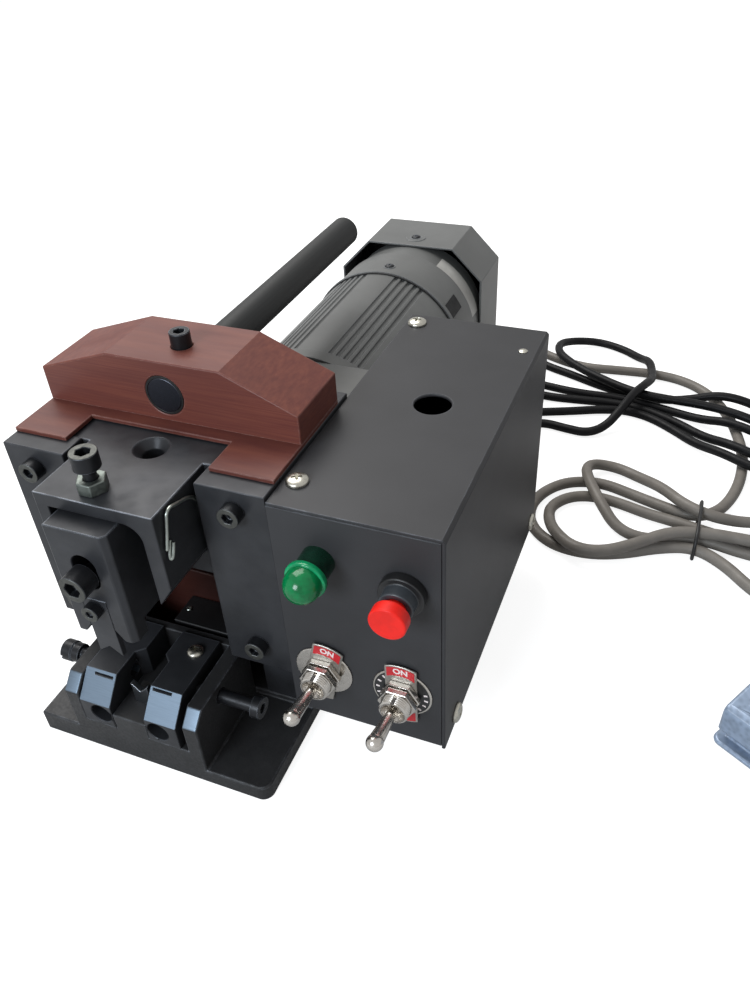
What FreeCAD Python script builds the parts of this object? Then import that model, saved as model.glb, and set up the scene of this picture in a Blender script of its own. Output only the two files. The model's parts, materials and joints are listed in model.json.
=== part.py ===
import FreeCAD, Part
import math
import os
import Sketcher
from FreeCAD import Placement, Rotation, Vector

# Bench wire stripping machine: a blade head that a geared motor's crank pulls down onto the wire,
# a control box on its side, a mains cord and a foot pedal on a cord.
# Lengths are millimetres. X runs to the right from the left edge of the base, Y runs back from the
# front of the base and Z runs up from the table. The finished pieces are moved so that the origin
# lies under the middle of the machine.

DIMENSIONS = {
    # Base casting with the jaw block
    "frame_width": 112.0,
    "base_height": 11.3,
    "base_depth": 250.0,
    "base_corner": 5.0,
    "flange_step": 3.0,
    "wire_line": 50.0,
    "jaw_block_left": 19.7,
    "jaw_block_width": 64.0,
    "jaw_block_top": 40.3,
    "jaw_block_bevel": 6.3,
    "strip_width": 6.7,
    "channel_depth": 40.0,
    "channel_floor": 18.5,
    "slot_floor": 27.0,
    "slot_width": 16.4,
    "jaw_width": 15.2,
    "jaw_top": 41.8,
    "jaw_bevel_depth": 9.5,
    "jaw_bevel_height": 10.8,
    "jaw_hole_width": 10.0,
    "jaw_hole_depth": 14.0,
    "jaw_hole_height": 25.4,
    "jaw_hole_spacing": 27.8,
    "jaw_funnel": 3.4,
    "jaw_screw_height": 33.5,
    "jaw_screw_depth": 20.0,
    "jaw_screw_width": 6.0,
    "jaw_knob_width": 9.5,
    "jaw_knob_length": 5.0,
    "jaw_collar_length": 4.0,
    "left_knob_reach": 14.0,
    "right_knob_reach": 19.5,
    "plate_screw_head": 7.0,
    "plate_screw_depth": 31.0,
    # Head frame: housing and the two gib plates
    "frame_height": 134.7,
    "gib_front": 32.0,
    "gib_thickness": 12.0,
    "gib_bottom": 45.4,
    "gib_width": 27.9,
    "gib_screw_inset": 13.0,
    "gib_screw_top": 8.7,
    "gib_screw_low": 12.6,
    "cap_head_width": 8.5,
    "cap_head_height": 5.0,
    "cap_shank_width": 5.0,
    "cap_shank_length": 22.0,
    "cap_socket_width": 4.0,
    "cap_socket_depth": 2.5,
    "housing_depth": 60.0,
    "housing_back_wall": 8.0,
    "housing_cavity": 68.0,
    # Slider, blade holder, blade and presser
    "slider_width": 50.0,
    "slider_front": 10.7,
    "slider_bottom": 90.0,
    "slider_drop": 0.6,
    "slider_flange_depth": 15.8,
    "slider_flange_bottom": 78.0,
    "slider_stroke": 22.0,
    "slider_bevel_width": 7.6,
    "slider_bevel_height": 11.0,
    "pocket_width": 38.0,
    "pocket_left": 5.5,
    "pocket_depth": 13.8,
    "pocket_top": 5.6,
    "pocket_corner": 7.0,
    "oil_hole_width": 14.0,
    "oil_hole_depth": 47.0,
    "oil_hole_shift": 1.0,
    "holder_width": 26.0,
    "holder_front": 3.0,
    "holder_plate": 8.0,
    "holder_shift": 2.0,
    "holder_top": 127.2,
    "holder_bottom": 75.0,
    "holder_bevel": 2.0,
    "clamp_above_blade_screw": 16.7,
    "slot_above_clamp": 9.0,
    "holder_slot_length": 16.0,
    "holder_slot_width": 10.2,
    "clamp_head_width": 11.0,
    "clamp_head_height": 8.2,
    "clamp_socket_width": 6.0,
    "clamp_tap_depth": 12.0,
    "blade_shift": 1.0,
    "blade_width": 10.6,
    "blade_thickness": 2.5,
    "blade_bottom": 65.5,
    "blade_above_screw": 4.3,
    "blade_notch": 4.0,
    "blade_screw_height": 90.3,
    "blade_screw_head": 7.0,
    "blade_screw_proud": 4.2,
    "presser_width": 12.5,
    "presser_depth": 17.5,
    "presser_bottom": 67.5,
    "presser_pin_width": 8.0,
    "presser_pin_proud": 3.5,
    "adjuster_depth": 18.9,
    "adjuster_shank_width": 5.0,
    "adjuster_shank_bare": 4.5,
    "adjuster_neck_height": 1.4,
    "adjuster_head_width": 10.0,
    "adjuster_head_height": 6.5,
    "lock_nut_flats": 10.0,
    "lock_nut_height": 5.0,
    "lower_blade_width": 8.0,
    "lower_blade_place": 10.0,
    "lower_blade_top": 38.0,
    # Micro switch, insulator and feeler wire in the cavity
    "switch_length": 28.0,
    "switch_depth": 16.0,
    "switch_height": 10.3,
    "switch_top": 40.0,
    "switch_left": 46.0,
    "switch_front": 46.0,
    "insulator_thickness": 3.0,
    "insulator_top": 56.0,
    "feeler_width": 1.4,
    "feeler_inset": 7.0,
    "feeler_drop": 19.0,
    # Bakelite bridge with the guide rod
    "bridge_plate_front": 39.9,
    "bridge_plate_thickness": 1.8,
    "bridge_notch_width": 62.0,
    "bridge_notch_back": 56.5,
    "bridge_front": 62.3,
    "bridge_back": 95.2,
    "bridge_top": 161.7,
    "bridge_shoulder_left": 151.0,
    "bridge_shoulder_right": 148.6,
    "bridge_slope_left": 32.5,
    "bridge_slope_right": 30.4,
    "rod_width": 14.5,
    "rod_length": 174.0,
    "rod_height": 147.5,
    "rod_tip": 2.0,
    "bush_wall": 0.95,
    "set_screw_width": 8.0,
    "set_screw_shift": 2.0,
    "set_screw_depth": 76.5,
    "set_screw_proud": 6.0,
    # Geared motor, crank and fan
    "output_height": 81.6,
    "crank_disc_width": 36.0,
    "crank_disc_thickness": 8.0,
    "crank_pin_width": 10.0,
    "crank_pin_length": 11.6,
    "yoke_clearance": 2.7,
    "output_shaft_width": 12.0,
    "output_shaft_reach": 50.0,
    "gearbox_width": 90.0,
    "gearbox_length": 60.0,
    "gearbox_corner": 6.0,
    "gearbox_wall": 6.0,
    "gearbox_box_gap": 4.0,
    "gear_module": 1.0,
    "gear_play": 0.02,
    "gear_place": 30.0,
    "gear_thickness": 14.0,
    "motor_width": 92.6,
    "motor_wall": 2.6,
    "motor_ring_length": 8.0,
    "motor_tube_length": 94.0,
    "bell_length": 46.0,
    "bell_neck_length": 14.0,
    "bell_neck_width": 89.0,
    "bell_spigot_length": 10.0,
    "bell_floor": 8.0,
    "groove_depth": 1.2,
    "hood_width": 92.0,
    "hood_bevel": 18.7,
    "hood_length": 40.0,
    "hood_wall": 1.2,
    "motor_shaft_width": 10.0,
    "rotor_width": 54.0,
    "rotor_length": 62.0,
    "stator_place": 16.0,
    "stator_length": 66.0,
    "air_gap": 0.6,
    "bearing_width": 30.0,
    "bearing_length": 9.0,
    "bearing_seat": 12.0,
    "fan_width": 74.0,
    "fan_length": 14.0,
    "fan_gap": 12.0,
    "fan_hub_width": 22.0,
    "fan_blade_thickness": 1.6,
    "vent_circle": 72.0,
    "vent_spacing": 9.0,
    "vent_height": 4.0,
    # Control box
    "box_width": 64.5,
    "box_depth": 149.0,
    "box_bottom": 26.0,
    "box_top": 133.0,
    "box_sheet": 1.5,
    "box_lip": 11.0,
    "cover_hole_width": 15.0,
    "cover_hole_depth": 108.5,
    "cover_hole_inset": 30.0,
    "cover_pin_hole": 3.5,
    "cover_pin_depth": 128.0,
    "cover_pin_inset": 6.8,
    "pan_head_width": 8.5,
    "pan_head_height": 2.4,
    "pan_shank_width": 4.0,
    "pan_shank_length": 6.0,
    "cover_screw_front": 14.0,
    "cover_screw_back": 140.0,
    "cover_screw_inset": 5.7,
    "side_screw_rise": 5.0,
    "lamp_place": 18.1,
    "lamp_height": 111.8,
    "lamp_width": 15.4,
    "lamp_length": 20.0,
    "lamp_barrel_width": 12.8,
    "lamp_dome_width": 14.0,
    "lamp_ridge_place": 9.0,
    "lamp_ridge_length": 2.4,
    "lamp_body_width": 12.0,
    "lamp_body_length": 24.0,
    "button_place": 49.8,
    "button_height": 107.0,
    "button_width": 13.5,
    "button_cap_length": 5.2,
    "button_stem_width": 7.8,
    "button_barrel_width": 12.6,
    "button_barrel_length": 9.0,
    "button_ring_width": 17.0,
    "button_ring_length": 4.0,
    "button_thread_width": 11.0,
    "button_thread_length": 22.0,
    "button_travel": 2.5,
    "toggle_left_place": 15.0,
    "toggle_right_place": 47.6,
    "toggle_height": 53.2,
    "toggle_bush_width": 11.5,
    "toggle_bush_length": 11.0,
    "toggle_ring_width": 24.0,
    "toggle_ring_thickness": 0.8,
    "toggle_nut_flats": 14.0,
    "toggle_nut_height": 2.4,
    "toggle_lever_length": 24.5,
    "toggle_lever_width": 3.4,
    "toggle_bat_width": 6.0,
    "toggle_tip_width": 6.5,
    "toggle_tilt": 13.0,
    "toggle_ball_width": 5.2,
    "toggle_pivot_depth": 7.5,
    "toggle_pin_width": 1.6,
    "toggle_pin_wall": 1.0,
    "toggle_body_width": 15.0,
    "toggle_body_height": 28.0,
    "toggle_body_length": 20.0,
    "tag_width": 12.7,
    "tag_span": 31.0,
    "tag_thickness": 0.8,
    "left_tag_turn": 13.0,
    "right_tag_turn": 0.0,
    "gland_width": 16.0,
    "gland_length": 14.0,
    "mains_gland_place": 44.0,
    "pedal_gland_place": 20.0,
    "gland_height": 26.0,
    # Cords and pedal
    "mains_cord_width": 5.6,
    "pedal_cord_width": 6.3,
    "tie_width": 1.6,
    "plug_width": 34.0,
    "plug_height": 20.0,
    "plug_length": 36.0,
    "plug_relief_length": 14.0,
    "plug_pin_length": 17.0,
    "pedal_left": 275.0,
    "pedal_front": 91.0,
    "pedal_turn": -31.0,
    "pedal_width": 80.0,
    "pedal_length": 124.0,
    "pedal_corner": 4.0,
    "pedal_floor": 2.5,
    "pedal_wall": 3.0,
    "pedal_wall_height": 11.0,
    "pedal_tower": 22.0,
    "pedal_back_height": 36.0,
    "treadle_inset": 1.0,
    "treadle_plate": 3.0,
    "treadle_side_gap": 0.6,
    "treadle_front_gap": 1.4,
    "treadle_low": 8.0,
    "treadle_front_height": 22.0,
    "treadle_back_height": 34.0,
    "treadle_swing_drop": 5.4,
    "treadle_pivot_depth": 88.0,
    "treadle_pivot_height": 20.0,
    "treadle_pin_width": 5.0,
    "treadle_margin": 9.0,
    "rib_spacing": 6.0,
    "rib_width": 2.4,
    "pedal_switch_width": 20.0,
    "pedal_switch_length": 28.0,
    "pedal_switch_place": 48.0,
    "pedal_plunger_place": 34.0,
    "pedal_plunger_width": 4.0,
    "pedal_plunger_height": 3.0,
    "pedal_gland_shift": 40.0,
    "pedal_gland_height": 13.0,
    # Fits
    "slide_gap": 0.1,
    "fit_gap": 0.05,
    "clear_gap": 0.3,
}


class Length:
    """A number together with the sheet formula that it comes from."""

    def __init__(self, number, formula):
        self.number = number
        self.formula = formula

    def _join(self, other, sign, number):
        text = other.formula if isinstance(other, Length) else repr(float(other))
        return Length(number, f"({self.formula} {sign} {text})")

    def __float__(self):
        return float(self.number)

    def __add__(self, other):
        return self._join(other, "+", self.number + float(other))

    def __sub__(self, other):
        return self._join(other, "-", self.number - float(other))

    def __mul__(self, other):
        return self._join(other, "*", self.number * float(other))

    def __truediv__(self, other):
        return self._join(other, "/", self.number / float(other))

    def __neg__(self):
        return Length(-self.number, f"(0 - {self.formula})")

    def __radd__(self, other):
        return self + other

    def __rmul__(self, other):
        return self * other

    def __rsub__(self, other):
        return -self + other


def square_root(area):
    """The side of a square of the given area."""
    return Length(math.sqrt(float(area)), f"sqrt({area.formula})")


doc = FreeCAD.newDocument("WireStripper")
sheet = doc.addObject("Spreadsheet::Sheet", "Sizes")
for row, (word, number) in enumerate(DIMENSIONS.items(), start=1):
    sheet.set(f"A{row}", word.replace("_", " "))
    sheet.set(f"B{row}", str(number))
    sheet.setAlias(f"B{row}", word)
doc.recompute()


class Sizes:
    """Gives each driving dimension of the sheet by its alias."""

    def __getattr__(self, word):
        return Length(float(getattr(sheet, word)), f"Sizes.{word}")


S = Sizes()
PIECES = {}
TURNS = {
    "Z": Rotation(0, 0, 0),
    "-Z": Rotation(Vector(1, 0, 0), 180),
    "Y": Rotation(Vector(1, 0, 0), -90),
    "-Y": Rotation(Vector(1, 0, 0), 90),
    "X": Rotation(Vector(0, 1, 0), 90),
    "-X": Rotation(Vector(0, 1, 0), -90),
}


def bind(feature, prop, amount):
    """Sets a size, through the sheet where the size comes from it."""
    if isinstance(amount, Length):
        feature.setExpression(prop, amount.formula)
    else:
        setattr(feature, prop, amount)


CORNERS = {}


def move_to(feature, x, y, z):
    CORNERS[feature.Name] = (x, y, z)
    for letter, amount in zip("xyz", (x, y, z)):
        text = amount.formula if isinstance(amount, Length) else repr(float(amount))
        feature.setExpression(f"Placement.Base.{letter}", text)


def box(x, y, z, dx, dy, dz):
    """A block from its low corner and its three sizes."""
    feature = doc.addObject("Part::Box", "Block")
    bind(feature, "Length", dx)
    bind(feature, "Width", dy)
    bind(feature, "Height", dz)
    move_to(feature, x, y, z)
    return feature


def cylinder(way, x, y, z, width, length):
    """A round bar of the given diameter that starts at a point and runs one way."""
    feature = doc.addObject("Part::Cylinder", "Round")
    feature.Placement = Placement(Vector(), TURNS[way])
    bind(feature, "Radius", width / 2)
    bind(feature, "Height", length)
    move_to(feature, x, y, z)
    return feature


def cone(way, x, y, z, width, end_width, length):
    feature = doc.addObject("Part::Cone", "Taper")
    feature.Placement = Placement(Vector(), TURNS[way])
    bind(feature, "Radius1", width / 2)
    bind(feature, "Radius2", end_width / 2)
    bind(feature, "Height", length)
    move_to(feature, x, y, z)
    return feature


def ball(x, y, z, width):
    feature = doc.addObject("Part::Sphere", "Ball")
    bind(feature, "Radius", width / 2)
    move_to(feature, x, y, z)
    return feature


def hexagon(way, x, y, z, flats, length):
    """A six-sided bar by its width across flats."""
    feature = doc.addObject("Part::Prism", "Hexagon")
    feature.Polygon = 6
    feature.Placement = Placement(Vector(), TURNS[way])
    bind(feature, "Circumradius", flats / math.sqrt(3))
    bind(feature, "Height", length)
    move_to(feature, x, y, z)
    return feature


def fuse(*features):
    feature = doc.addObject("Part::MultiFuse", "Joined")
    feature.Shapes = list(features)
    feature.Refine = True
    return feature


def cut(base, *tools):
    feature = doc.addObject("Part::Cut", "Cut")
    feature.Base = base
    feature.Tool = tools[0] if len(tools) == 1 else fuse(*tools)
    feature.Refine = True
    return feature


def common(*features):
    """What the bodies share."""
    feature = doc.addObject("Part::MultiCommon", "Shared")
    feature.Shapes = list(features)
    feature.Refine = True
    return feature


def group(*features):
    """Like solids kept apart in one piece."""
    feature = doc.addObject("Part::Compound", "Group")
    feature.Links = list(features)
    return feature


PLANES = {"X": ("YZ_Plane", 1), "Y": ("XZ_Plane", -1), "Z": ("XY_Plane", 1)}


def prism(way, points, start, length):
    """A body padded along X, Y or Z from a sketch whose corners are held by constraints."""
    role, side = PLANES[way]
    body = doc.addObject("PartDesign::Body", "Profile")
    sketch = body.newObject("Sketcher::SketchObject", "Outline")
    plane = next(f for f in body.Origin.OriginFeatures if f.Role == role)
    sketch.AttachmentSupport = [(plane, "")]
    sketch.MapMode = "FlatFace"
    places = [Vector(float(a), float(b), 0) for a, b in points]
    count = len(points)
    for i in range(count):
        sketch.addGeometry(Part.LineSegment(places[i], places[(i + 1) % count]), False)
    constraints = []
    for i in range(count):
        constraints.append(Sketcher.Constraint("Coincident", i, 2, (i + 1) % count, 1))
    for i in range(count):
        constraints.append(Sketcher.Constraint("DistanceX", -1, 1, i, 1, places[i].x))
        constraints.append(Sketcher.Constraint("DistanceY", -1, 1, i, 1, places[i].y))
    sketch.addConstraint(constraints)
    for i, corner in enumerate(points):
        for j, amount in enumerate(corner):
            if isinstance(amount, Length):
                sketch.setExpression(f"Constraints[{count + 2 * i + j}]", amount.formula)
    offset = start * side if isinstance(start, Length) else start * float(side)
    if isinstance(offset, Length):
        sketch.setExpression("AttachmentOffset.Base.z", offset.formula)
    else:
        sketch.AttachmentOffset = Placement(Vector(0, 0, offset), Rotation())
    pad = body.newObject("PartDesign::Pad", "Pad")
    pad.Profile = sketch
    bind(pad, "Length", length)
    pad.Reversed = side < 0
    body.Tip = pad
    return body


def edges_where(shape, test):
    return [f"Edge{i}" for i, edge in enumerate(shape.Edges, start=1) if test(edge)]


def rounded(body, test, radius, kind="Fillet"):
    """Rounds or bevels the edges of a body that the test picks."""
    doc.recompute()
    tip = body.Tip
    feature = body.newObject(f"PartDesign::{kind}", kind)
    feature.Base = (tip, edges_where(tip.Shape, test))
    bind(feature, "Radius" if kind == "Fillet" else "Size", radius)
    body.Tip = feature
    return body


def upright(x, y):
    """Picks the vertical edges near a place in plan."""
    def test(edge):
        ends = [v.Point for v in edge.Vertexes]
        near = all(abs(p.x - float(x)) < 0.01 and abs(p.y - float(y)) < 0.01 for p in ends)
        return len(ends) == 2 and near
    return test


OVERALL_WIDTH = S.frame_width + S.box_width + S.pan_head_height
HOOD_FRONT = (S.gib_front + S.gib_thickness + S.housing_depth + S.gearbox_length
              + S.motor_ring_length + S.motor_tube_length + S.bell_length + S.clear_gap)
CLAMP_FRONT = S.holder_front - S.clear_gap - S.clamp_head_height
ORIGIN_X = -OVERALL_WIDTH / 2
ORIGIN_Y = -(HOOD_FRONT + S.hood_length + CLAMP_FRONT) / 2


def piece(name, feature):
    """Names a finished piece and moves it so that the origin lies under the machine's middle."""
    feature.Label = name
    x, y, z = CORNERS.get(feature.Name, (0, 0, 0))
    move_to(feature, ORIGIN_X + x, ORIGIN_Y + y, z)
    PIECES[name] = feature
    return feature


def made(name, shape):
    """A piece whose shape comes from the sheet's numbers through a formula."""
    feature = doc.addObject("Part::Feature", name)
    feature.Shape = shape
    CORNERS[feature.Name] = tuple(shape.Placement.Base)
    return piece(name, feature)


def cap_screw(way, x, y, z, head, height, shank, length, socket, depth):
    """A socket head screw: the head's seat is at the point and the shank runs the given way."""
    back = way[1:] if way.startswith("-") else "-" + way
    top = {"X": (1, 0, 0), "Y": (0, 1, 0), "Z": (0, 0, 1)}[back[-1]]
    sign = -1 if back.startswith("-") else 1
    reach = height - depth
    place = [amount + reach * (sign * part) for amount, part in zip((x, y, z), top)]
    body = fuse(cylinder(back, x, y, z, head, height), cylinder(way, x, y, z, shank, length))
    return cut(body, hexagon(back, *place, socket, depth + 1))


# Places that several pieces share
CENTRE = S.frame_width / 2
HOUSING_FRONT = S.gib_front + S.gib_thickness
HOUSING_BACK = HOUSING_FRONT + S.housing_depth
CAVITY_LEFT = CENTRE - S.housing_cavity / 2
BLOCK_RIGHT = S.jaw_block_left + S.jaw_block_width
SLOT_LEFT = S.wire_line - S.slot_width / 2
SLOT_RIGHT = S.wire_line + S.slot_width / 2
CHANNEL_LEFT = S.jaw_block_left + S.strip_width
CHANNEL_RIGHT = BLOCK_RIGHT - S.strip_width
SLIDER_LEFT = CENTRE - S.slider_width / 2
SLIDER_TOP = S.frame_height - S.slider_drop
FLANGE_BACK = HOUSING_FRONT + S.slide_gap + S.slider_flange_depth
POCKET_BACK = S.slider_front + S.pocket_depth
POCKET_LEFT = SLIDER_LEFT + S.pocket_left
POCKET_CEILING = SLIDER_TOP - S.pocket_top
HOLDER_CENTRE = S.wire_line + S.holder_shift
HOLDER_LEFT = HOLDER_CENTRE - S.holder_width / 2
HOLDER_BACK = S.holder_front + S.holder_plate
BLADE_LINE = S.wire_line + S.blade_shift
BLADE_TOP = S.blade_screw_height + S.blade_above_screw
CLAMP_HEIGHT = S.blade_screw_height + S.clamp_above_blade_screw
PINION_TEETH = 9
WHEEL_TEETH = 27
SHAFT_DISTANCE = S.gear_module * ((PINION_TEETH + WHEEL_TEETH) / 2) + S.gear_play
MOTOR_SHIFT = S.frame_width - S.gearbox_box_gap - S.gearbox_width / 2 - CENTRE
MOTOR_DROP = square_root(SHAFT_DISTANCE * SHAFT_DISTANCE - MOTOR_SHIFT * MOTOR_SHIFT)
MOTOR_X = CENTRE + MOTOR_SHIFT
MOTOR_Z = S.output_height - MOTOR_DROP
GEARBOX_BACK = HOUSING_BACK + S.gearbox_length
TUBE_FRONT = GEARBOX_BACK + S.motor_ring_length
BELL_FRONT = TUBE_FRONT + S.motor_tube_length
BELL_BACK = BELL_FRONT + S.bell_length
STROKE = S.slider_stroke
CRANK_FRONT = FLANGE_BACK + 2 + S.clear_gap


FRAME_SCREWS = []
ROTOR = []


def base_casting():
    """Flange with the jaw block, one casting whose front faces are in one plane."""
    plate = prism("Z", [(0, 0), (S.frame_width, 0), (S.frame_width, S.base_depth),
                        (0, S.base_depth)], 0, S.base_height)
    plate = rounded(plate, upright(S.frame_width, 0), S.base_corner)
    plate = rounded(plate, upright(S.frame_width, S.base_depth), S.base_corner)
    plate = rounded(plate, upright(0, S.base_depth), S.base_corner)
    bevel = S.jaw_block_bevel
    block = prism("X", [(0, 0), (HOUSING_FRONT, 0), (HOUSING_FRONT, S.jaw_block_top),
                        (bevel, S.jaw_block_top), (0, S.jaw_block_top - bevel)],
                  S.jaw_block_left, S.jaw_block_width)
    high = S.jaw_block_top
    channel_left = box(CHANNEL_LEFT, -1, S.channel_floor,
                       SLOT_LEFT - CHANNEL_LEFT, S.channel_depth + 1, high)
    channel_right = box(SLOT_RIGHT, -1, S.channel_floor,
                        CHANNEL_RIGHT - SLOT_RIGHT, S.channel_depth + 1, high)
    slot = box(SLOT_LEFT, -1, S.slot_floor, S.slot_width, S.channel_depth + 1, high)
    step = box(BLOCK_RIGHT, -1, S.base_height - S.flange_step, S.frame_width, HOUSING_FRONT + 1, high)
    bore = cylinder("X", 0, S.jaw_screw_depth, S.jaw_screw_height,
                    S.jaw_screw_width + S.fit_gap * 2, S.frame_width)
    low = HOUSING_FRONT + S.housing_depth / 2
    bolt_holes = [cylinder("Z", place, low, -1, S.cap_shank_width + S.clear_gap,
                           S.base_height + 2)
                  for place in (S.gib_screw_inset, S.frame_width - S.gib_screw_inset)]
    sinks = [cylinder("Z", place, low, -1, S.cap_head_width + S.clear_gap,
                      S.cap_head_height + 2)
             for place in (S.gib_screw_inset, S.frame_width - S.gib_screw_inset)]
    blade_foot = box(BLADE_LINE - S.lower_blade_width / 2,
                     S.lower_blade_place + S.blade_thickness, S.slot_floor - 1,
                     S.lower_blade_width, 5.0, 6.0)
    switch_pad = box(S.switch_left, S.switch_front, S.base_height - 1, S.switch_length,
                     S.switch_depth + S.insulator_thickness,
                     S.switch_top - S.switch_height - S.base_height + 1)
    casting = cut(fuse(plate, block), channel_left, channel_right, slot, step, bore,
                  *bolt_holes, *sinks)
    piece("base_casting", fuse(casting, blade_foot, switch_pad))


def jaw(side):
    """One wire jaw, seen along Z: its inner face closes in to a narrow throat behind."""
    left = side < 0
    gap = S.slide_gap
    if left:
        outer, inner = CHANNEL_LEFT + gap, SLOT_LEFT
        funnel = inner + S.jaw_funnel
    else:
        outer, inner = SLOT_RIGHT + S.jaw_width, SLOT_RIGHT
        funnel = inner - S.jaw_funnel
    toe = prism("X", [(0, S.channel_floor + gap), (S.channel_depth - gap, S.channel_floor + gap),
                      (S.channel_depth - gap, S.jaw_top), (S.jaw_bevel_depth, S.jaw_top),
                      (0, S.jaw_top - S.jaw_bevel_height)],
                outer if left else inner + gap, (inner - outer - gap) if left else (outer - inner - gap))
    throat = prism("Z", [(inner - 1 if left else inner + 1, S.jaw_screw_depth + 2),
                         (funnel, S.jaw_screw_depth + 6), (funnel, S.channel_depth - gap),
                         (inner - 1 if left else inner + 1, S.channel_depth - gap)],
                   S.slot_floor + gap, S.jaw_top - S.slot_floor - gap)
    hole_x = S.wire_line + S.jaw_hole_spacing / 2 * float(side)
    hole = cylinder("Y", hole_x, -1, S.jaw_hole_height, S.jaw_hole_width, S.jaw_hole_depth + 1)
    bore = cylinder("X", 0, S.jaw_screw_depth, S.jaw_screw_height,
                    S.jaw_screw_width + S.fit_gap * 2, S.frame_width)
    screw_x = inner - S.jaw_width * 0.45 if left else inner + S.jaw_width * 0.55
    tap = cylinder("-Z", screw_x, S.plate_screw_depth, S.jaw_top + 1, S.pan_shank_width,
                   S.pan_shank_length + 1)
    return cut(fuse(toe, throat), hole, bore, tap), screw_x


def jaws():
    for side, name in ((-1, "left_jaw"), (1, "right_jaw")):
        body, screw_x = jaw(side)
        piece(name, body)
    piece("jaw_plate_screw", pan_screw("-Z", screw_x, S.plate_screw_depth, S.jaw_top,
                                       S.plate_screw_head))


def pan_screw(way, x, y, z, head):
    """A cross-head screw with a low domed head; the shank runs the given way."""
    back = way[1:] if way.startswith("-") else "-" + way
    dome = cone(back, x, y, z, head, head * 0.62, S.pan_head_height)
    shank = cylinder(way, x, y, z, S.pan_shank_width - S.fit_gap * 2, S.pan_shank_length)
    unit = {"X": Vector(1, 0, 0), "Y": Vector(0, 1, 0), "Z": Vector(0, 0, 1)}[way[-1]]
    sign = -1 if back.startswith("-") else 1
    at = [amount + S.pan_head_height * (sign * part) for amount, part in zip((x, y, z), unit)]
    low = [amount - S.pan_head_height * (0.5 * sign * part) for amount, part in zip(at, unit)]
    cross = []
    for long_way in [k for k in "XYZ" if k != way[-1]]:
        sizes = {k: S.pan_head_height for k in "XYZ"}
        short = next(k for k in "XYZ" if k not in (way[-1], long_way))
        sizes[short] = head * 0.14
        sizes[long_way] = head * 0.56
        corner = []
        for k, amount in zip("XYZ", low):
            if k == way[-1]:
                corner.append(amount if sign > 0 else amount - sizes[k])
            else:
                corner.append(amount - sizes[k] / 2)
        cross.append(box(*corner, *[sizes[k] for k in "XYZ"]))
    return cut(fuse(dome, shank), *cross)


def jaw_screws():
    """The left screw clamps its jaw; the right one draws the right jaw outwards."""
    y, z = S.jaw_screw_depth, S.jaw_screw_height
    shank = S.jaw_screw_width
    start = S.jaw_block_left - S.left_knob_reach
    knob = cylinder("X", start, y, z, S.jaw_knob_width, S.jaw_knob_length)
    collar = cylinder("X", start + S.jaw_knob_length, y, z, S.jaw_knob_width - 0.8,
                      S.jaw_collar_length)
    stem = cylinder("X", start, y, z, shank, SLOT_LEFT - 4 - start)
    slot = box(start - 1, y - S.jaw_knob_width / 2, z - 0.5, 2, S.jaw_knob_width, 1)
    piece("left_jaw_clamp_screw", cut(fuse(knob, collar, stem), slot))
    end = BLOCK_RIGHT + S.right_knob_reach
    cap = cylinder("-X", end, y, z, S.jaw_knob_width, S.jaw_collar_length)
    stem = cylinder("-X", end, y, z, shank, end - SLOT_RIGHT - 4)
    socket = hexagon("-X", end + 1, y, z, S.cap_socket_width, S.cap_socket_depth + 1)
    piece("right_jaw_screw", cut(fuse(cap, stem), socket))


def lower_blade():
    """Flat blade with a vee, standing on the floor of the wire slot."""
    left = BLADE_LINE - S.lower_blade_width / 2
    right = BLADE_LINE + S.lower_blade_width / 2
    piece("lower_blade", prism("Y", [
        (left, S.slot_floor), (right, S.slot_floor), (right, S.lower_blade_top),
        (BLADE_LINE, S.lower_blade_top - S.blade_notch), (left, S.lower_blade_top)],
        S.lower_blade_place, S.blade_thickness))


def head_housing():
    """Channel-shaped frame behind the gib plates, open at the front and on top."""
    height = S.frame_height - S.base_height
    shell = box(0, HOUSING_FRONT, S.base_height, S.frame_width, S.housing_depth, height)
    cavity = box(CAVITY_LEFT, HOUSING_FRONT - 1, S.base_height - 1, S.housing_cavity,
                 S.housing_depth - S.housing_back_wall + 1, height + 2)
    shaft = cylinder("Y", CENTRE, HOUSING_BACK - S.housing_back_wall - 1, S.output_height,
                     S.output_shaft_width + 2, S.housing_back_wall + 2)
    taps = [cylinder("Y", x, HOUSING_FRONT - 1, z, S.cap_shank_width + S.fit_gap * 2,
                     S.cap_shank_length - S.gib_thickness + 2)
            for x, z in gib_screw_places()]
    feet = [cylinder("Z", x, HOUSING_FRONT + S.housing_depth / 2, S.base_height - 1,
                     S.cap_shank_width + S.fit_gap * 2, S.cap_shank_length)
            for x in (S.gib_screw_inset, S.frame_width - S.gib_screw_inset)]
    mouth = [cylinder("Y", x, HOUSING_BACK - S.housing_back_wall - 1, z,
                      S.cap_shank_width + S.clear_gap, S.housing_back_wall + 2)
             for x, z in gearbox_screw_places()]
    piece("head_housing", cut(shell, cavity, shaft, *taps, *feet, *mouth))
    bolts = [cap_screw("Z", x, HOUSING_FRONT + S.housing_depth / 2, S.cap_head_height + 1,
                       S.cap_head_width, S.cap_head_height, S.cap_shank_width,
                       S.base_height + S.cap_shank_length - S.cap_head_height - 4,
                       S.cap_socket_width, S.cap_socket_depth)
             for x in (S.gib_screw_inset, S.frame_width - S.gib_screw_inset)]
    FRAME_SCREWS.extend(bolts)


def gib_screw_places():
    """Left and right screws, upper and lower, as X and Z."""
    return [(x, z)
            for x in (S.gib_screw_inset, S.frame_width - S.gib_screw_inset)
            for z in (S.gib_bottom + S.gib_screw_low, S.frame_height - S.gib_screw_top)]


def gearbox_screw_places():
    """The two upper and two lower screws that hold the gearbox, inside the cavity."""
    reach = S.housing_cavity / 2 - 7
    return [(CENTRE + reach * a, MOTOR_Z + reach * b) for a in (-1, 1) for b in (-1, 1)]


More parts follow.
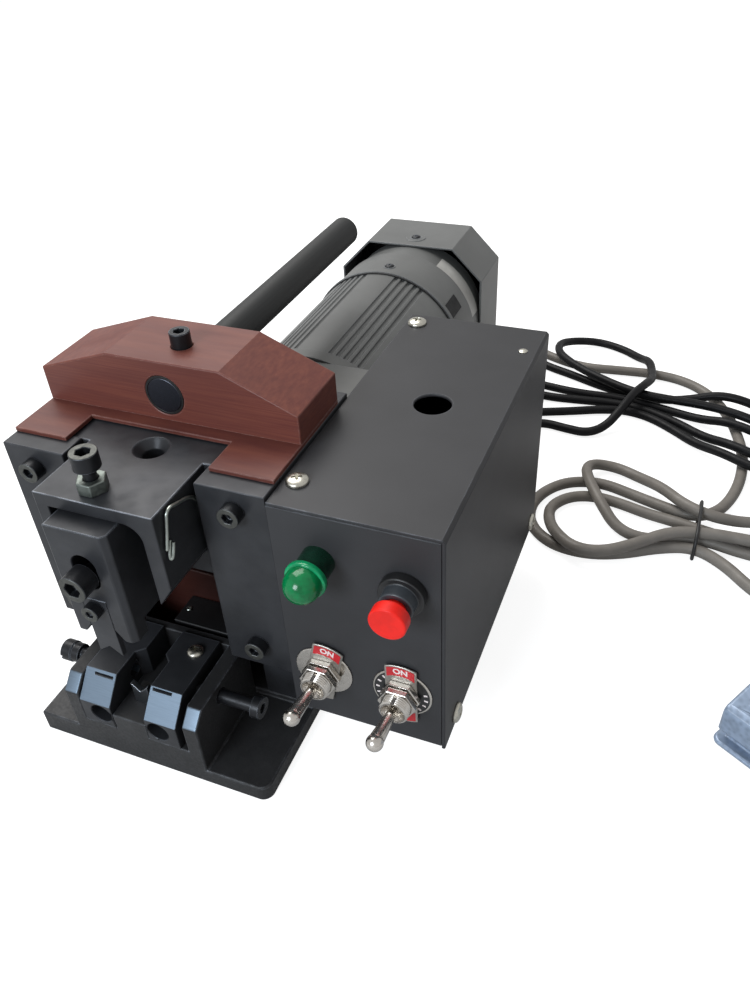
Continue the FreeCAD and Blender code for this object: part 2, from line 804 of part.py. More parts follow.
def gib_plates():
    height = S.frame_height - S.gib_bottom
    for name, left, number in (("left_gib_plate", S.frame_width * 0, 0),
                               ("right_gib_plate", S.frame_width - S.gib_width, 2)):
        plate = box(left, S.gib_front, S.gib_bottom, S.gib_width, S.gib_thickness, height)
        holes = [cylinder("Y", x, S.gib_front - 1, z, S.cap_shank_width + S.fit_gap * 2,
                          S.gib_thickness + 2)
                 for x, z in gib_screw_places()[number:number + 2]]
        if number:
            holes.append(cylinder("X", left - 1, HOUSING_FRONT - S.feeler_inset,
                                  S.frame_height - S.feeler_drop,
                                  S.feeler_width + S.fit_gap * 2, 7))
        piece(name, cut(plate, *holes))
    screws = [cap_screw("Y", x, S.gib_front, z, S.cap_head_width, S.cap_head_height,
                        S.cap_shank_width, S.cap_shank_length, S.cap_socket_width,
                        S.cap_socket_depth)
              for x, z in gib_screw_places()]
    FRAME_SCREWS.extend(screws)


def slider():
    """Blade head: a front block with a pocket, and a flange that runs behind the gib plates."""
    right = SLIDER_LEFT + S.slider_width
    across, up = S.slider_bevel_width, S.slider_bevel_height
    front = prism("Y", [
        (SLIDER_LEFT, SLIDER_TOP), (SLIDER_LEFT, S.slider_bottom + up),
        (SLIDER_LEFT + across, S.slider_bottom), (right - across, S.slider_bottom),
        (right, S.slider_bottom + up), (right, SLIDER_TOP)],
        S.slider_front, HOUSING_FRONT + S.slide_gap - S.slider_front)
    flange = box(CAVITY_LEFT + S.slide_gap, HOUSING_FRONT + S.slide_gap, S.slider_flange_bottom,
                 S.housing_cavity - S.slide_gap * 2, S.slider_flange_depth,
                 SLIDER_TOP - S.slider_flange_bottom)
    pocket = prism("Z", [
        (POCKET_LEFT, S.slider_front - 1), (POCKET_LEFT + S.pocket_width, S.slider_front - 1),
        (POCKET_LEFT + S.pocket_width, POCKET_BACK), (POCKET_LEFT, POCKET_BACK)],
        S.slider_bottom - 1, POCKET_CEILING - S.slider_bottom + 1)
    right_side = POCKET_LEFT + S.pocket_width

    def ceiling_corner(edge):
        ends = [v.Point for v in edge.Vertexes]
        return all(abs(p.z - float(POCKET_CEILING)) < 0.01
                   and abs(p.x - float(right_side)) < 0.01 for p in ends)
    pocket = rounded(pocket, ceiling_corner, S.pocket_corner)
    screw = cylinder("Z", HOLDER_CENTRE, S.adjuster_depth, POCKET_CEILING - 1,
                     S.adjuster_shank_width + S.fit_gap * 2, S.pocket_top + 2)
    oil_x = CENTRE + S.oil_hole_shift
    sink = cone("-Z", oil_x, S.oil_hole_depth, SLIDER_TOP, S.oil_hole_width,
                S.oil_hole_width * 0.6, S.oil_hole_width * 0.25)
    drill = cylinder("-Z", oil_x, S.oil_hole_depth, SLIDER_TOP, S.oil_hole_width * 0.6, 16)
    pin_top = S.output_height + STROKE / 2
    yoke_height = S.crank_pin_width + S.yoke_clearance * 2
    yoke_width = STROKE + S.crank_pin_width + 2
    yoke = box(CENTRE - yoke_width / 2, FLANGE_BACK - S.crank_pin_length + 1.5,
               pin_top - yoke_height / 2, yoke_width, S.crank_pin_length, yoke_height)
    clamp = cylinder("Y", HOLDER_CENTRE, POCKET_BACK - 1, CLAMP_HEIGHT,
                     S.cap_shank_width + S.fit_gap * 2, S.clamp_tap_depth)
    piece("slider", cut(fuse(front, flange), pocket, screw, sink, drill, yoke, clamp))


def blade_holder():
    """Plate with two ribs behind it that guide it in the slider's pocket."""
    right = HOLDER_LEFT + S.holder_width
    height = S.holder_top - S.holder_bottom
    plate = prism("Z", [
        (HOLDER_LEFT, S.holder_front), (right - S.holder_bevel, S.holder_front),
        (right, S.holder_front + S.holder_bevel), (right, HOLDER_BACK), (HOLDER_LEFT, HOLDER_BACK)],
        S.holder_bottom, height)
    rib_low = S.slider_bottom - 8
    sleeve = S.presser_width / 2 + S.clear_gap
    rib_back = POCKET_BACK - S.slide_gap
    left_rib = box(HOLDER_LEFT, HOLDER_BACK, rib_low,
                   S.wire_line - sleeve - HOLDER_LEFT, rib_back - HOLDER_BACK,
                   S.holder_top - rib_low)
    right_rib = box(S.wire_line + sleeve, HOLDER_BACK, rib_low,
                    right - S.wire_line - sleeve, rib_back - HOLDER_BACK,
                    S.holder_top - rib_low)
    roof_low = S.holder_top - 8
    roof = box(HOLDER_LEFT, HOLDER_BACK, roof_low, S.holder_width, rib_back - HOLDER_BACK,
               S.holder_top - roof_low)
    tip = cylinder("Z", HOLDER_CENTRE, S.adjuster_depth, roof_low + 2,
                   S.adjuster_shank_width + S.fit_gap * 2, 10)
    half = S.holder_slot_width / 2
    high = CLAMP_HEIGHT + S.slot_above_clamp
    low = high - S.holder_slot_length
    slot = box(HOLDER_CENTRE - half, S.holder_front - 1, low + half, S.holder_slot_width,
               rib_back + 2, S.holder_slot_length - S.holder_slot_width)
    slot_top = cylinder("Y", HOLDER_CENTRE, S.holder_front - 1, high - half,
                        S.holder_slot_width, rib_back + 2)
    slot_end = cylinder("Y", HOLDER_CENTRE, S.holder_front - 1, low + half,
                        S.holder_slot_width, rib_back + 2)
    seat = box(BLADE_LINE - S.blade_width / 2 - S.fit_gap, S.holder_front - 1, 0,
               S.blade_width + S.fit_gap * 2, S.blade_thickness + 1, BLADE_TOP)
    reliefs = []
    for side in (-1, 1):
        near = BLADE_LINE + S.blade_width / 2 * float(side)
        reliefs.append(prism("Y", [
            (near, S.holder_bottom - 1), (near + 4.2 * side, S.holder_bottom - 1),
            (near, S.holder_bottom + 5)], S.holder_front - 1, S.holder_plate + 2))
    small = cylinder("Y", BLADE_LINE, S.holder_front - 1, S.blade_screw_height,
                     S.pan_shank_width, S.pan_shank_length + 1)
    solid = cut(fuse(plate, left_rib, right_rib, roof), slot, slot_top, slot_end, tip, seat,
                small, *reliefs)
    piece("blade_holder", solid)
    left = BLADE_LINE - S.blade_width / 2
    edge = BLADE_LINE + S.blade_width / 2
    blade = prism("Y", [
        (left, BLADE_TOP), (left, S.blade_bottom), (BLADE_LINE, S.blade_bottom + S.blade_notch),
        (edge, S.blade_bottom), (edge, BLADE_TOP)], S.holder_front, S.blade_thickness)
    drill = cylinder("Y", BLADE_LINE, S.holder_front - 1, S.blade_screw_height,
                     S.pan_shank_width, S.blade_thickness + 2)
    piece("upper_blade", cut(blade, drill))
    piece("blade_screw", cap_screw(
        "Y", BLADE_LINE, S.holder_front, S.blade_screw_height, S.blade_screw_head,
        S.blade_screw_proud, S.pan_shank_width - S.fit_gap * 2, S.pan_shank_length,
        S.cap_socket_width - 1, S.cap_socket_depth - 1))


def clamp_screw():
    """Large socket screw that clamps the holder to the slider through the holder's slot."""
    piece("holder_clamp_screw", cap_screw(
        "Y", HOLDER_CENTRE, S.holder_front - S.clear_gap, CLAMP_HEIGHT,
        S.clamp_head_width, S.clamp_head_height, S.cap_shank_width,
        POCKET_BACK + 9 - S.holder_front, S.clamp_socket_width, S.cap_socket_depth + 1))


def adjusting_screw():
    """Screw that sets the holder's height, turning in the slider's top wall and a lock nut."""
    nut_top = SLIDER_TOP + S.lock_nut_height
    head_low = nut_top + S.adjuster_shank_bare
    foot = S.holder_top - 6 + S.slide_gap
    shank = cylinder("Z", HOLDER_CENTRE, S.adjuster_depth, foot, S.adjuster_shank_width,
                     head_low - foot + 1)
    head = cylinder("Z", HOLDER_CENTRE, S.adjuster_depth, head_low, S.adjuster_head_width,
                    S.adjuster_head_height)
    neck = cone("Z", HOLDER_CENTRE, S.adjuster_depth, head_low - S.adjuster_neck_height,
                S.adjuster_shank_width, S.adjuster_head_width * 0.8, S.adjuster_neck_height)
    socket = hexagon("Z", HOLDER_CENTRE, S.adjuster_depth, head_low + S.adjuster_head_height - 4,
                     S.cap_socket_width + 1, 5)
    piece("adjusting_screw", cut(fuse(shank, neck, head), socket))
    nut = hexagon("Z", HOLDER_CENTRE, S.adjuster_depth, SLIDER_TOP, S.lock_nut_flats,
                  S.lock_nut_height)
    bore = cylinder("Z", HOLDER_CENTRE, S.adjuster_depth, SLIDER_TOP - 1,
                    S.adjuster_shank_width + S.fit_gap * 2, S.lock_nut_height + 2)
    piece("adjuster_lock_nut", cut(nut, bore))


def helix_tube(radius, pitch, turns, wire):
    """One unbroken coil of wire about the Z axis, on quarter-turn biarcs."""
    quarters = int(round(turns * 4))
    spots = []
    for i in range(quarters * 2 + 1):
        angle = i * math.pi / 4
        spots.append(Vector(radius * math.cos(angle), radius * math.sin(angle),
                            pitch * i / 8))
    arcs = [Part.Arc(spots[2 * i], spots[2 * i + 1], spots[2 * i + 2]).toShape()
            for i in range(quarters)]
    path = Part.Wire(arcs)
    start = path.Edges[0]
    way = start.tangentAt(start.FirstParameter)
    ring = Part.Wire([Part.makeCircle(wire / 2, spots[0], way)])
    return path.makePipeShell([ring], True, False)


def presser():
    """Sleeve in the slider's pocket with a sprung pin that holds the wire down."""
    low = S.presser_bottom
    tube = cylinder("Z", S.wire_line, S.presser_depth, low, S.presser_width,
                    S.slider_bottom + 10 - low)
    hollow = cylinder("Z", S.wire_line, S.presser_depth, low - 1,
                      S.presser_pin_width + S.fit_gap * 2, S.slider_bottom + 5 - low)
    lug = box(S.wire_line - 4, S.presser_depth, S.slider_bottom + 1, 8,
              POCKET_BACK - S.presser_depth, 9)
    piece("presser_sleeve", cut(fuse(tube, lug), hollow))
    pin_top = S.slider_bottom - 8
    piece("presser_pin", cylinder("Z", S.wire_line, S.presser_depth,
                                  low - S.presser_pin_proud, S.presser_pin_width,
                                  pin_top - low + S.presser_pin_proud))
    space = float(S.slider_bottom) + 4 - float(pin_top)
    wire, turns = 0.8, 5
    coil = helix_tube(2.9, (space - wire - 0.4) / turns, turns, wire)
    coil.translate(Vector(float(S.wire_line), float(S.presser_depth),
                          float(pin_top) + wire / 2 + 0.2))
    made("presser_spring", coil)


def cavity_parts():
    """Micro switch and the insulating plate behind it."""
    front = S.switch_front
    low = S.switch_top - S.switch_height
    body = box(S.switch_left, front, low, S.switch_length, S.switch_depth, S.switch_height)
    holes = [cylinder("Z", S.switch_left + inset, front + S.switch_depth / 2, low - 1, 3.0,
                      S.switch_height + 2) for inset in (3.0, S.switch_length - 3)]
    piece("micro_switch", cut(body, *holes))
    plate = box(CAVITY_LEFT, front + S.switch_depth + S.clear_gap, S.base_height,
                S.housing_cavity, S.insulator_thickness, S.insulator_top - S.base_height)
    gap = box(S.switch_left - 1, front + S.switch_depth, S.base_height - 1,
              S.switch_length + 2, S.insulator_thickness + 4, low - S.base_height + 1)
    piece("insulator_plate", cut(plate, gap))


def tube_along(points, width):
    """A round tube on straight runs joined by tangent arcs, each as large as its runs allow."""
    spots = [Vector(*p) for p in points]
    edges = []
    start = spots[0]
    bends = []
    for before, corner, after in zip(spots, spots[1:], spots[2:]):
        run_in = (corner - before).Length
        run_out = (after - corner).Length
        way_in = (corner - before).normalize()
        way_out = (after - corner).normalize()
        turn = way_in.getAngle(way_out)
        reach = 0.45 * min(run_in, run_out)
        bends.append(reach / math.tan(turn / 2))
        first = corner - way_in * reach
        last = corner + way_out * reach
        side = (way_out - way_in).normalize()
        depth = bends[-1] / math.cos(turn / 2) - bends[-1]
        middle = corner + side * depth
        edges.append(Part.LineSegment(start, first).toShape())
        edges.append(Part.Arc(first, middle, last).toShape())
        start = last
    edges.append(Part.LineSegment(start, spots[-1]).toShape())
    path = Part.Wire(edges)
    way = (spots[1] - spots[0]).normalize()
    ring = Part.Wire([Part.makeCircle(width / 2, spots[0], way)])
    tube = path.makePipeShell([ring], True, False)
    return tube, path, min(bends)


def feeler_wire():
    x = float(S.frame_width - S.gib_width) - 2.1
    wall = x + 7
    y = float(HOUSING_FRONT) - float(S.feeler_inset)
    z = float(S.frame_height) - float(S.feeler_drop)
    front = float(S.slider_front)
    points = [(wall, y, z), (x, y, z), (x, y + 0.4, z + 6), (x, y - 5, z + 13),
              (x, front + 7, z + 17.6), (x, front + 5.2, z + 11), (x, front + 2.5, z + 3)]
    tube, path, bend = tube_along(points, float(S.feeler_width))
    print(f"feeler wire: {path.Length:.1f} mm, smallest bend {bend:.2f} mm")
    made("feeler_wire", tube)


def bridge():
    """Bakelite plate on the frame's top, with the guide rod's block on it."""
    low = S.frame_height
    back = S.bridge_back
    plate = box(0, S.bridge_plate_front, low, S.frame_width, back - S.bridge_plate_front,
                S.bridge_plate_thickness)
    notch = box(CENTRE - S.bridge_notch_width / 2 - 1, S.bridge_plate_front - 1, low - 1,
                S.bridge_notch_width, S.bridge_notch_back - S.bridge_plate_front + 1,
                S.bridge_plate_thickness + 2)
    piece("bridge_plate", cut(plate, notch))
    block_low = low + S.bridge_plate_thickness
    block = prism("Y", [
        (0, block_low), (S.frame_width, block_low), (S.frame_width, S.bridge_shoulder_right),
        (S.frame_width - S.bridge_slope_right, S.bridge_top), (S.bridge_slope_left, S.bridge_top),
        (0, S.bridge_shoulder_left)], S.bridge_front, back - S.bridge_front)
    bush_width = S.rod_width + S.fit_gap * 2 + S.bush_wall * 2
    bore = cylinder("Y", CENTRE, S.bridge_front - 1, S.rod_height, bush_width,
                    back - S.bridge_front + 2)
    set_x = CENTRE + S.set_screw_shift
    tap = cylinder("Z", set_x, S.set_screw_depth, S.rod_height, S.set_screw_width + S.fit_gap * 2,
                   S.bridge_top - S.rod_height + 1)
    piece("bridge_block", cut(block, bore, tap))
    bush = cylinder("Y", CENTRE, S.bridge_front, S.rod_height, bush_width, back - S.bridge_front)
    inner = cylinder("Y", CENTRE, S.bridge_front - 1, S.rod_height, S.rod_width + S.fit_gap * 2,
                     back - S.bridge_front + 2)
    window = cylinder("Z", set_x, S.set_screw_depth, S.rod_height,
                      S.set_screw_width + S.fit_gap * 2, S.rod_width)
    piece("rod_bush", cut(bush, inner, window))
    rod = cylinder("Y", CENTRE, S.bridge_front, S.rod_height, S.rod_width,
                   S.rod_length - S.rod_tip)
    nose = cone("Y", CENTRE, S.bridge_front + S.rod_length - S.rod_tip, S.rod_height,
                S.rod_width, S.rod_width - S.rod_tip * 1.4, S.rod_tip)
    piece("guide_rod", fuse(rod, nose))
    foot = S.rod_height + S.rod_width / 2 + S.slide_gap
    head = S.bridge_top + S.set_screw_proud
    screw = cylinder("Z", set_x, S.set_screw_depth, foot, S.set_screw_width, head - foot)
    socket = hexagon("Z", set_x, S.set_screw_depth, head - 3, S.cap_socket_width, 4)
    piece("rod_set_screw", cut(screw, socket))


def gear(teeth, module, bore, thickness, turned):
    """A spur gear about the Y axis with straight-sided teeth and running backlash."""
    pitch = module * teeth / 2
    outer = pitch + 0.8 * module
    root = pitch - 1.15 * module
    half_pitch = math.pi / teeth / 2 * 0.88
    slope = math.tan(math.radians(20))
    half_tip = half_pitch - slope * 0.8 * module / outer
    half_root = half_pitch + slope * 1.0 * module / root
    spots = []
    for i in range(teeth):
        middle = 2 * math.pi * i / teeth + turned
        for radius, angle in ((root, -half_root), (outer, -half_tip),
                              (outer, half_tip), (root, half_root)):
            spots.append(Vector(radius * math.cos(middle + angle), 0,
                                radius * math.sin(middle + angle)))
    face = Part.Face(Part.makePolygon(spots + [spots[0]]))
    solid = face.extrude(Vector(0, thickness, 0))
    if bore > 0:
        solid = solid.cut(Part.makeCylinder(bore / 2, thickness + 2, Vector(0, -1, 0),
                                            Vector(0, 1, 0)))
    return solid


def drive_train():
    """Crank on the gearbox's output shaft, the gear pair and the gearbox case."""
    turned = math.atan2(-float(MOTOR_DROP), float(MOTOR_SHIFT))
    thickness = float(S.gear_thickness)
    place = float(HOUSING_BACK + S.gear_place)
    wheel = gear(WHEEL_TEETH, float(S.gear_module), float(S.output_shaft_width), thickness, turned)
    wheel.translate(Vector(float(CENTRE), place, float(S.output_height)))
    made("output_gear", wheel)
    pinion = gear(PINION_TEETH, float(S.gear_module), 0, thickness,
                  turned + math.pi + math.pi / PINION_TEETH)
    pinion.translate(Vector(float(MOTOR_X), place, float(MOTOR_Z)))
    ROTOR.append(pinion)
    shaft_start = CRANK_FRONT + S.crank_disc_thickness
    shaft = cylinder("Y", CENTRE, shaft_start, S.output_height, S.output_shaft_width,
                     HOUSING_BACK + S.output_shaft_reach - shaft_start)
    disc = cylinder("Y", CENTRE, CRANK_FRONT, S.output_height, S.crank_disc_width,
                    S.crank_disc_thickness)
    pin_z = S.output_height + STROKE / 2
    pin = cylinder("-Y", CENTRE, CRANK_FRONT, pin_z, S.crank_pin_width, S.crank_pin_length)
    piece("crankshaft", fuse(disc, pin, shaft))
    half = S.gearbox_width / 2
    left, right = MOTOR_X - half, MOTOR_X + half
    low, high = MOTOR_Z - half, MOTOR_Z + half
    case = prism("Y", [(left, low), (right, low), (right, high), (left, high)],
                 HOUSING_BACK, S.gearbox_length)
    case = rounded(case, lambda e: e.Vertexes[0].Point.distanceToPoint(e.Vertexes[-1].Point)
                   > float(S.gearbox_length) - 0.01 and abs(e.tangentAt(e.FirstParameter).y) > 0.9,
                   S.gearbox_corner)
    wall = S.gearbox_wall
    room = box(left + wall, HOUSING_BACK + wall, low + wall, S.gearbox_width - wall * 2,
               S.gearbox_length - wall, S.gearbox_width - wall * 2)
    mouth = cylinder("Y", CENTRE, HOUSING_BACK - 1, S.output_height,
                     S.output_shaft_width + S.fit_gap * 2, wall + 2)
    taps = [cylinder("Y", x, HOUSING_BACK - 1, z, S.cap_shank_width + S.fit_gap * 2, wall)
            for x, z in gearbox_screw_places()]
    piece("gearbox_case", cut(case, room, mouth, *taps))
    screws = [cap_screw("Y", x, HOUSING_BACK - S.housing_back_wall, z, S.cap_head_width,
                        S.cap_head_height, S.cap_shank_width, S.housing_back_wall + wall - 2,
                        S.cap_socket_width, S.cap_socket_depth)
              for x, z in gearbox_screw_places()]
    FRAME_SCREWS.extend(screws)


# The tube's grooves run in four groups with smooth panels between them, in degrees from the right.
GROOVE_STEP = 5
FAN_BLADES = 7
GROOVE_ANGLES = [start + GROOVE_STEP * i for start in (59, 103, 239, 283) for i in range(5)]


def motor():
    """Round induction motor: front ring, grooved tube, end bell, octagonal fan hood."""
    x, z = MOTOR_X, MOTOR_Z
    wide = S.motor_width
    bore = wide - S.motor_wall * 2
    ring = cylinder("Y", x, GEARBOX_BACK, z, wide + 1, S.motor_ring_length)
    seat = cylinder("Y", x, GEARBOX_BACK - 1, z, S.bearing_width + S.fit_gap * 2,
                    S.motor_ring_length + 2)
    tube = cylinder("Y", x, TUBE_FRONT, z, wide, S.motor_tube_length)
    hollow = cylinder("Y", x, TUBE_FRONT - 1, z, bore, S.motor_tube_length + 2)
    grooves = []
    for angle in GROOVE_ANGLES:
        a = math.radians(angle)
        radius = wide / 2
        grooves.append(cylinder("Y", x + radius * math.cos(a), TUBE_FRONT - 1,
                                z + radius * math.sin(a), S.groove_depth * 2,
                                S.motor_tube_length + 2))
    piece("motor_tube", fuse(cut(ring, seat), cut(tube, hollow, *grooves)))
    bell = cylinder("Y", x, BELL_FRONT, z, wide, S.bell_length - S.bell_neck_length)
    neck = cylinder("Y", x, BELL_BACK - S.bell_neck_length, z, S.bell_neck_width,
                    S.bell_neck_length + S.bell_spigot_length)
    bell_room = cylinder("Y", x, BELL_FRONT - 1, z, bore, S.bell_length - S.bell_floor)
    pocket = cylinder("Y", x, BELL_BACK - S.bearing_seat, z, S.bearing_width + S.fit_gap * 2,
                      S.bearing_seat + S.bell_spigot_length + 1)
    piece("end_bell", cut(fuse(bell, neck), bell_room, pocket))
    half = S.hood_width / 2
    cutoff = S.hood_bevel
    back = HOOD_FRONT + S.hood_length

    def octagon(shrink):
        reach = half - shrink
        side = reach - cutoff + shrink * (2 - math.sqrt(2))
        return [(x + a, z + b) for a, b in (
            (-side, -reach), (side, -reach), (reach, -side), (reach, side),
            (side, reach), (-side, reach), (-reach, side), (-reach, -side))]
    shell = prism("Y", octagon(S.hood_wall * 0), HOOD_FRONT, S.hood_length)
    room = prism("Y", octagon(S.hood_wall), HOOD_FRONT - 1, S.hood_length - S.hood_wall + 1)
    vents = []
    for row in range(-3, 4):
        rise = S.vent_spacing * float(row)
        radius = S.vent_circle / 2
        reach = square_root(radius * radius - rise * rise)
        vents.append(box(x - reach, back - S.hood_wall - 1, z + rise - S.vent_height / 2,
                         reach * 2, S.hood_wall + 2, S.vent_height))
    piece("fan_hood", cut(shell, room, *vents))
    core_start = TUBE_FRONT + S.stator_place
    rotor_start = core_start + (S.stator_length - S.rotor_length) / 2
    gear_back = HOUSING_BACK + S.gear_place + S.gear_thickness
    fan_start = BELL_BACK + S.fan_gap
    along = Vector(0, 1, 0)
    solid = ROTOR[0]
    for begin, end, wide in (
            (gear_back, fan_start + S.fan_length, S.motor_shaft_width),
            (rotor_start, rotor_start + S.rotor_length, S.rotor_width)):
        solid = solid.fuse(Part.makeCylinder(float(wide) / 2, float(end - begin),
                                             Vector(float(x), float(begin), float(z)), along))
    made("rotor", solid)
    stator = cylinder("Y", x, core_start, z, bore, S.stator_length)
    stator_bore = cylinder("Y", x, core_start - 1, z, S.rotor_width + S.air_gap * 2,
                           S.stator_length + 2)
    piece("stator_core", cut(stator, stator_bore))
    bearings = []
    for start in (GEARBOX_BACK, BELL_BACK - S.bearing_seat):
        race = cylinder("Y", x, start, z, S.bearing_width, S.bearing_length)
        hole = cylinder("Y", x, start - 1, z, S.motor_shaft_width + S.fit_gap * 2,
                        S.bearing_length + 2)
        bearings.append(cut(race, hole))
    piece("motor_bearings", group(*bearings))
    hub = cylinder("Y", x, fan_start, z, S.fan_hub_width, S.fan_length)
    hub_bore = cylinder("Y", x, fan_start - 1, z, S.motor_shaft_width, S.fan_length + 2)
    blades = []
    for i in range(FAN_BLADES):
        blade = box(0, 0, 0, S.fan_width / 2, S.fan_length, S.fan_blade_thickness)
        turn = Rotation(Vector(0, 1, 0), i * 360 / FAN_BLADES)
        blade.Placement = Placement(Vector(), turn)
        blade.setExpression("Placement.Base.x", x.formula)
        blade.setExpression("Placement.Base.y", fan_start.formula)
        blade.setExpression("Placement.Base.z", z.formula)
        blades.append(blade)
    piece("cooling_fan", cut(fuse(hub, *blades), hub_bore))


def control_box():
    """Folded chassis with front, floor, back and inner side, and an angled cover."""
    left = S.frame_width
    front = S.gib_front
    sheet_gauge = S.box_sheet
    low, high = S.box_bottom, S.box_top
    outer = box(left, front, low, S.box_width - sheet_gauge, S.box_depth, high - sheet_gauge - low)
    room = box(left + sheet_gauge, front + sheet_gauge, low + sheet_gauge, S.box_width,
               S.box_depth - sheet_gauge * 2, high)
    lip_top = box(left + sheet_gauge, front + sheet_gauge, high - sheet_gauge * 2,
                  S.box_lip, S.box_depth - sheet_gauge * 2, sheet_gauge)
    lip_side = box(left + S.box_width - sheet_gauge * 2, front + sheet_gauge, low + sheet_gauge,
                   sheet_gauge, S.box_depth - sheet_gauge * 2, S.box_lip)
    holes = []
    for place, height, wide in ((S.lamp_place, S.lamp_height, S.lamp_body_width),
                                (S.button_place, S.button_height, S.button_thread_width),
                                (S.toggle_left_place, S.toggle_height, S.toggle_bush_width),
                                (S.toggle_right_place, S.toggle_height, S.toggle_bush_width)):
        holes.append(cylinder("Y", left + place, front - 1, height, wide + S.fit_gap * 2,
                              sheet_gauge + 2))
    back = front + S.box_depth
    for place in (S.mains_gland_place, S.pedal_gland_place):
        holes.append(cylinder("Y", left + place, back - sheet_gauge - 1, low + S.gland_height,
                              S.gland_width - 6 + S.fit_gap * 2, sheet_gauge + 2))
    for along in (S.cover_screw_front, S.cover_screw_back):
        holes.append(cylinder("-Z", left + S.cover_screw_inset, front + along, high,
                              S.pan_shank_width, 8))
        holes.append(cylinder("-X", left + S.box_width, front + along, low + S.side_screw_rise,
                              S.pan_shank_width, 8))
    piece("box_chassis", cut(fuse(cut(outer, room), lip_top, lip_side), *holes))
    right = left + S.box_width
    foot = low - sheet_gauge
    bend = sheet_gauge * 0.8
    cover = prism("Y", [
        (left, high - sheet_gauge), (right - sheet_gauge, high - sheet_gauge),
        (right - sheet_gauge, foot), (right, foot), (right, high - bend), (right - bend, high),
        (left, high)], front, S.box_depth)
    hand_hole = cylinder("-Z", left + S.box_width - S.cover_hole_inset, S.cover_hole_depth,
                         high + 1, S.cover_hole_width, 5)
    pin_hole = cylinder("-Z", right - S.cover_pin_inset, front + S.cover_pin_depth, high + 1,
                        S.cover_pin_hole, 5)
    taps = []
    screws = []
    for along in (S.cover_screw_front, S.cover_screw_back):
        taps.append(cylinder("-Z", left + S.cover_screw_inset, front + along, high + 1,
                             S.pan_shank_width, 5))
        taps.append(cylinder("-X", right + 1, front + along, low + S.side_screw_rise,
                             S.pan_shank_width, 5))
        screws.append(pan_screw("-Z", left + S.cover_screw_inset, front + along, high,
                                S.pan_head_width))
        screws.append(pan_screw("-X", right, front + along, low + S.side_screw_rise,
                                S.pan_head_width))
    piece("box_cover", cut(cover, hand_hole, pin_hole, *taps))
    piece("cover_screws", group(*screws))


def tag_strip(x, z, turn, start):
    """An upright strip across a toggle's axis, turned clockwise by so many degrees."""
    angle = math.radians(float(turn))
    across, up = S.tag_width / 2, S.tag_span / 2
    corners = [(x + across * (a * math.cos(angle)) + up * (b * math.sin(angle)),
                z - across * (a * math.sin(angle)) + up * (b * math.cos(angle)))
               for a, b in ((-1, -1), (1, -1), (1, 1), (-1, 1))]
    return prism("Y", corners, start, S.tag_thickness)


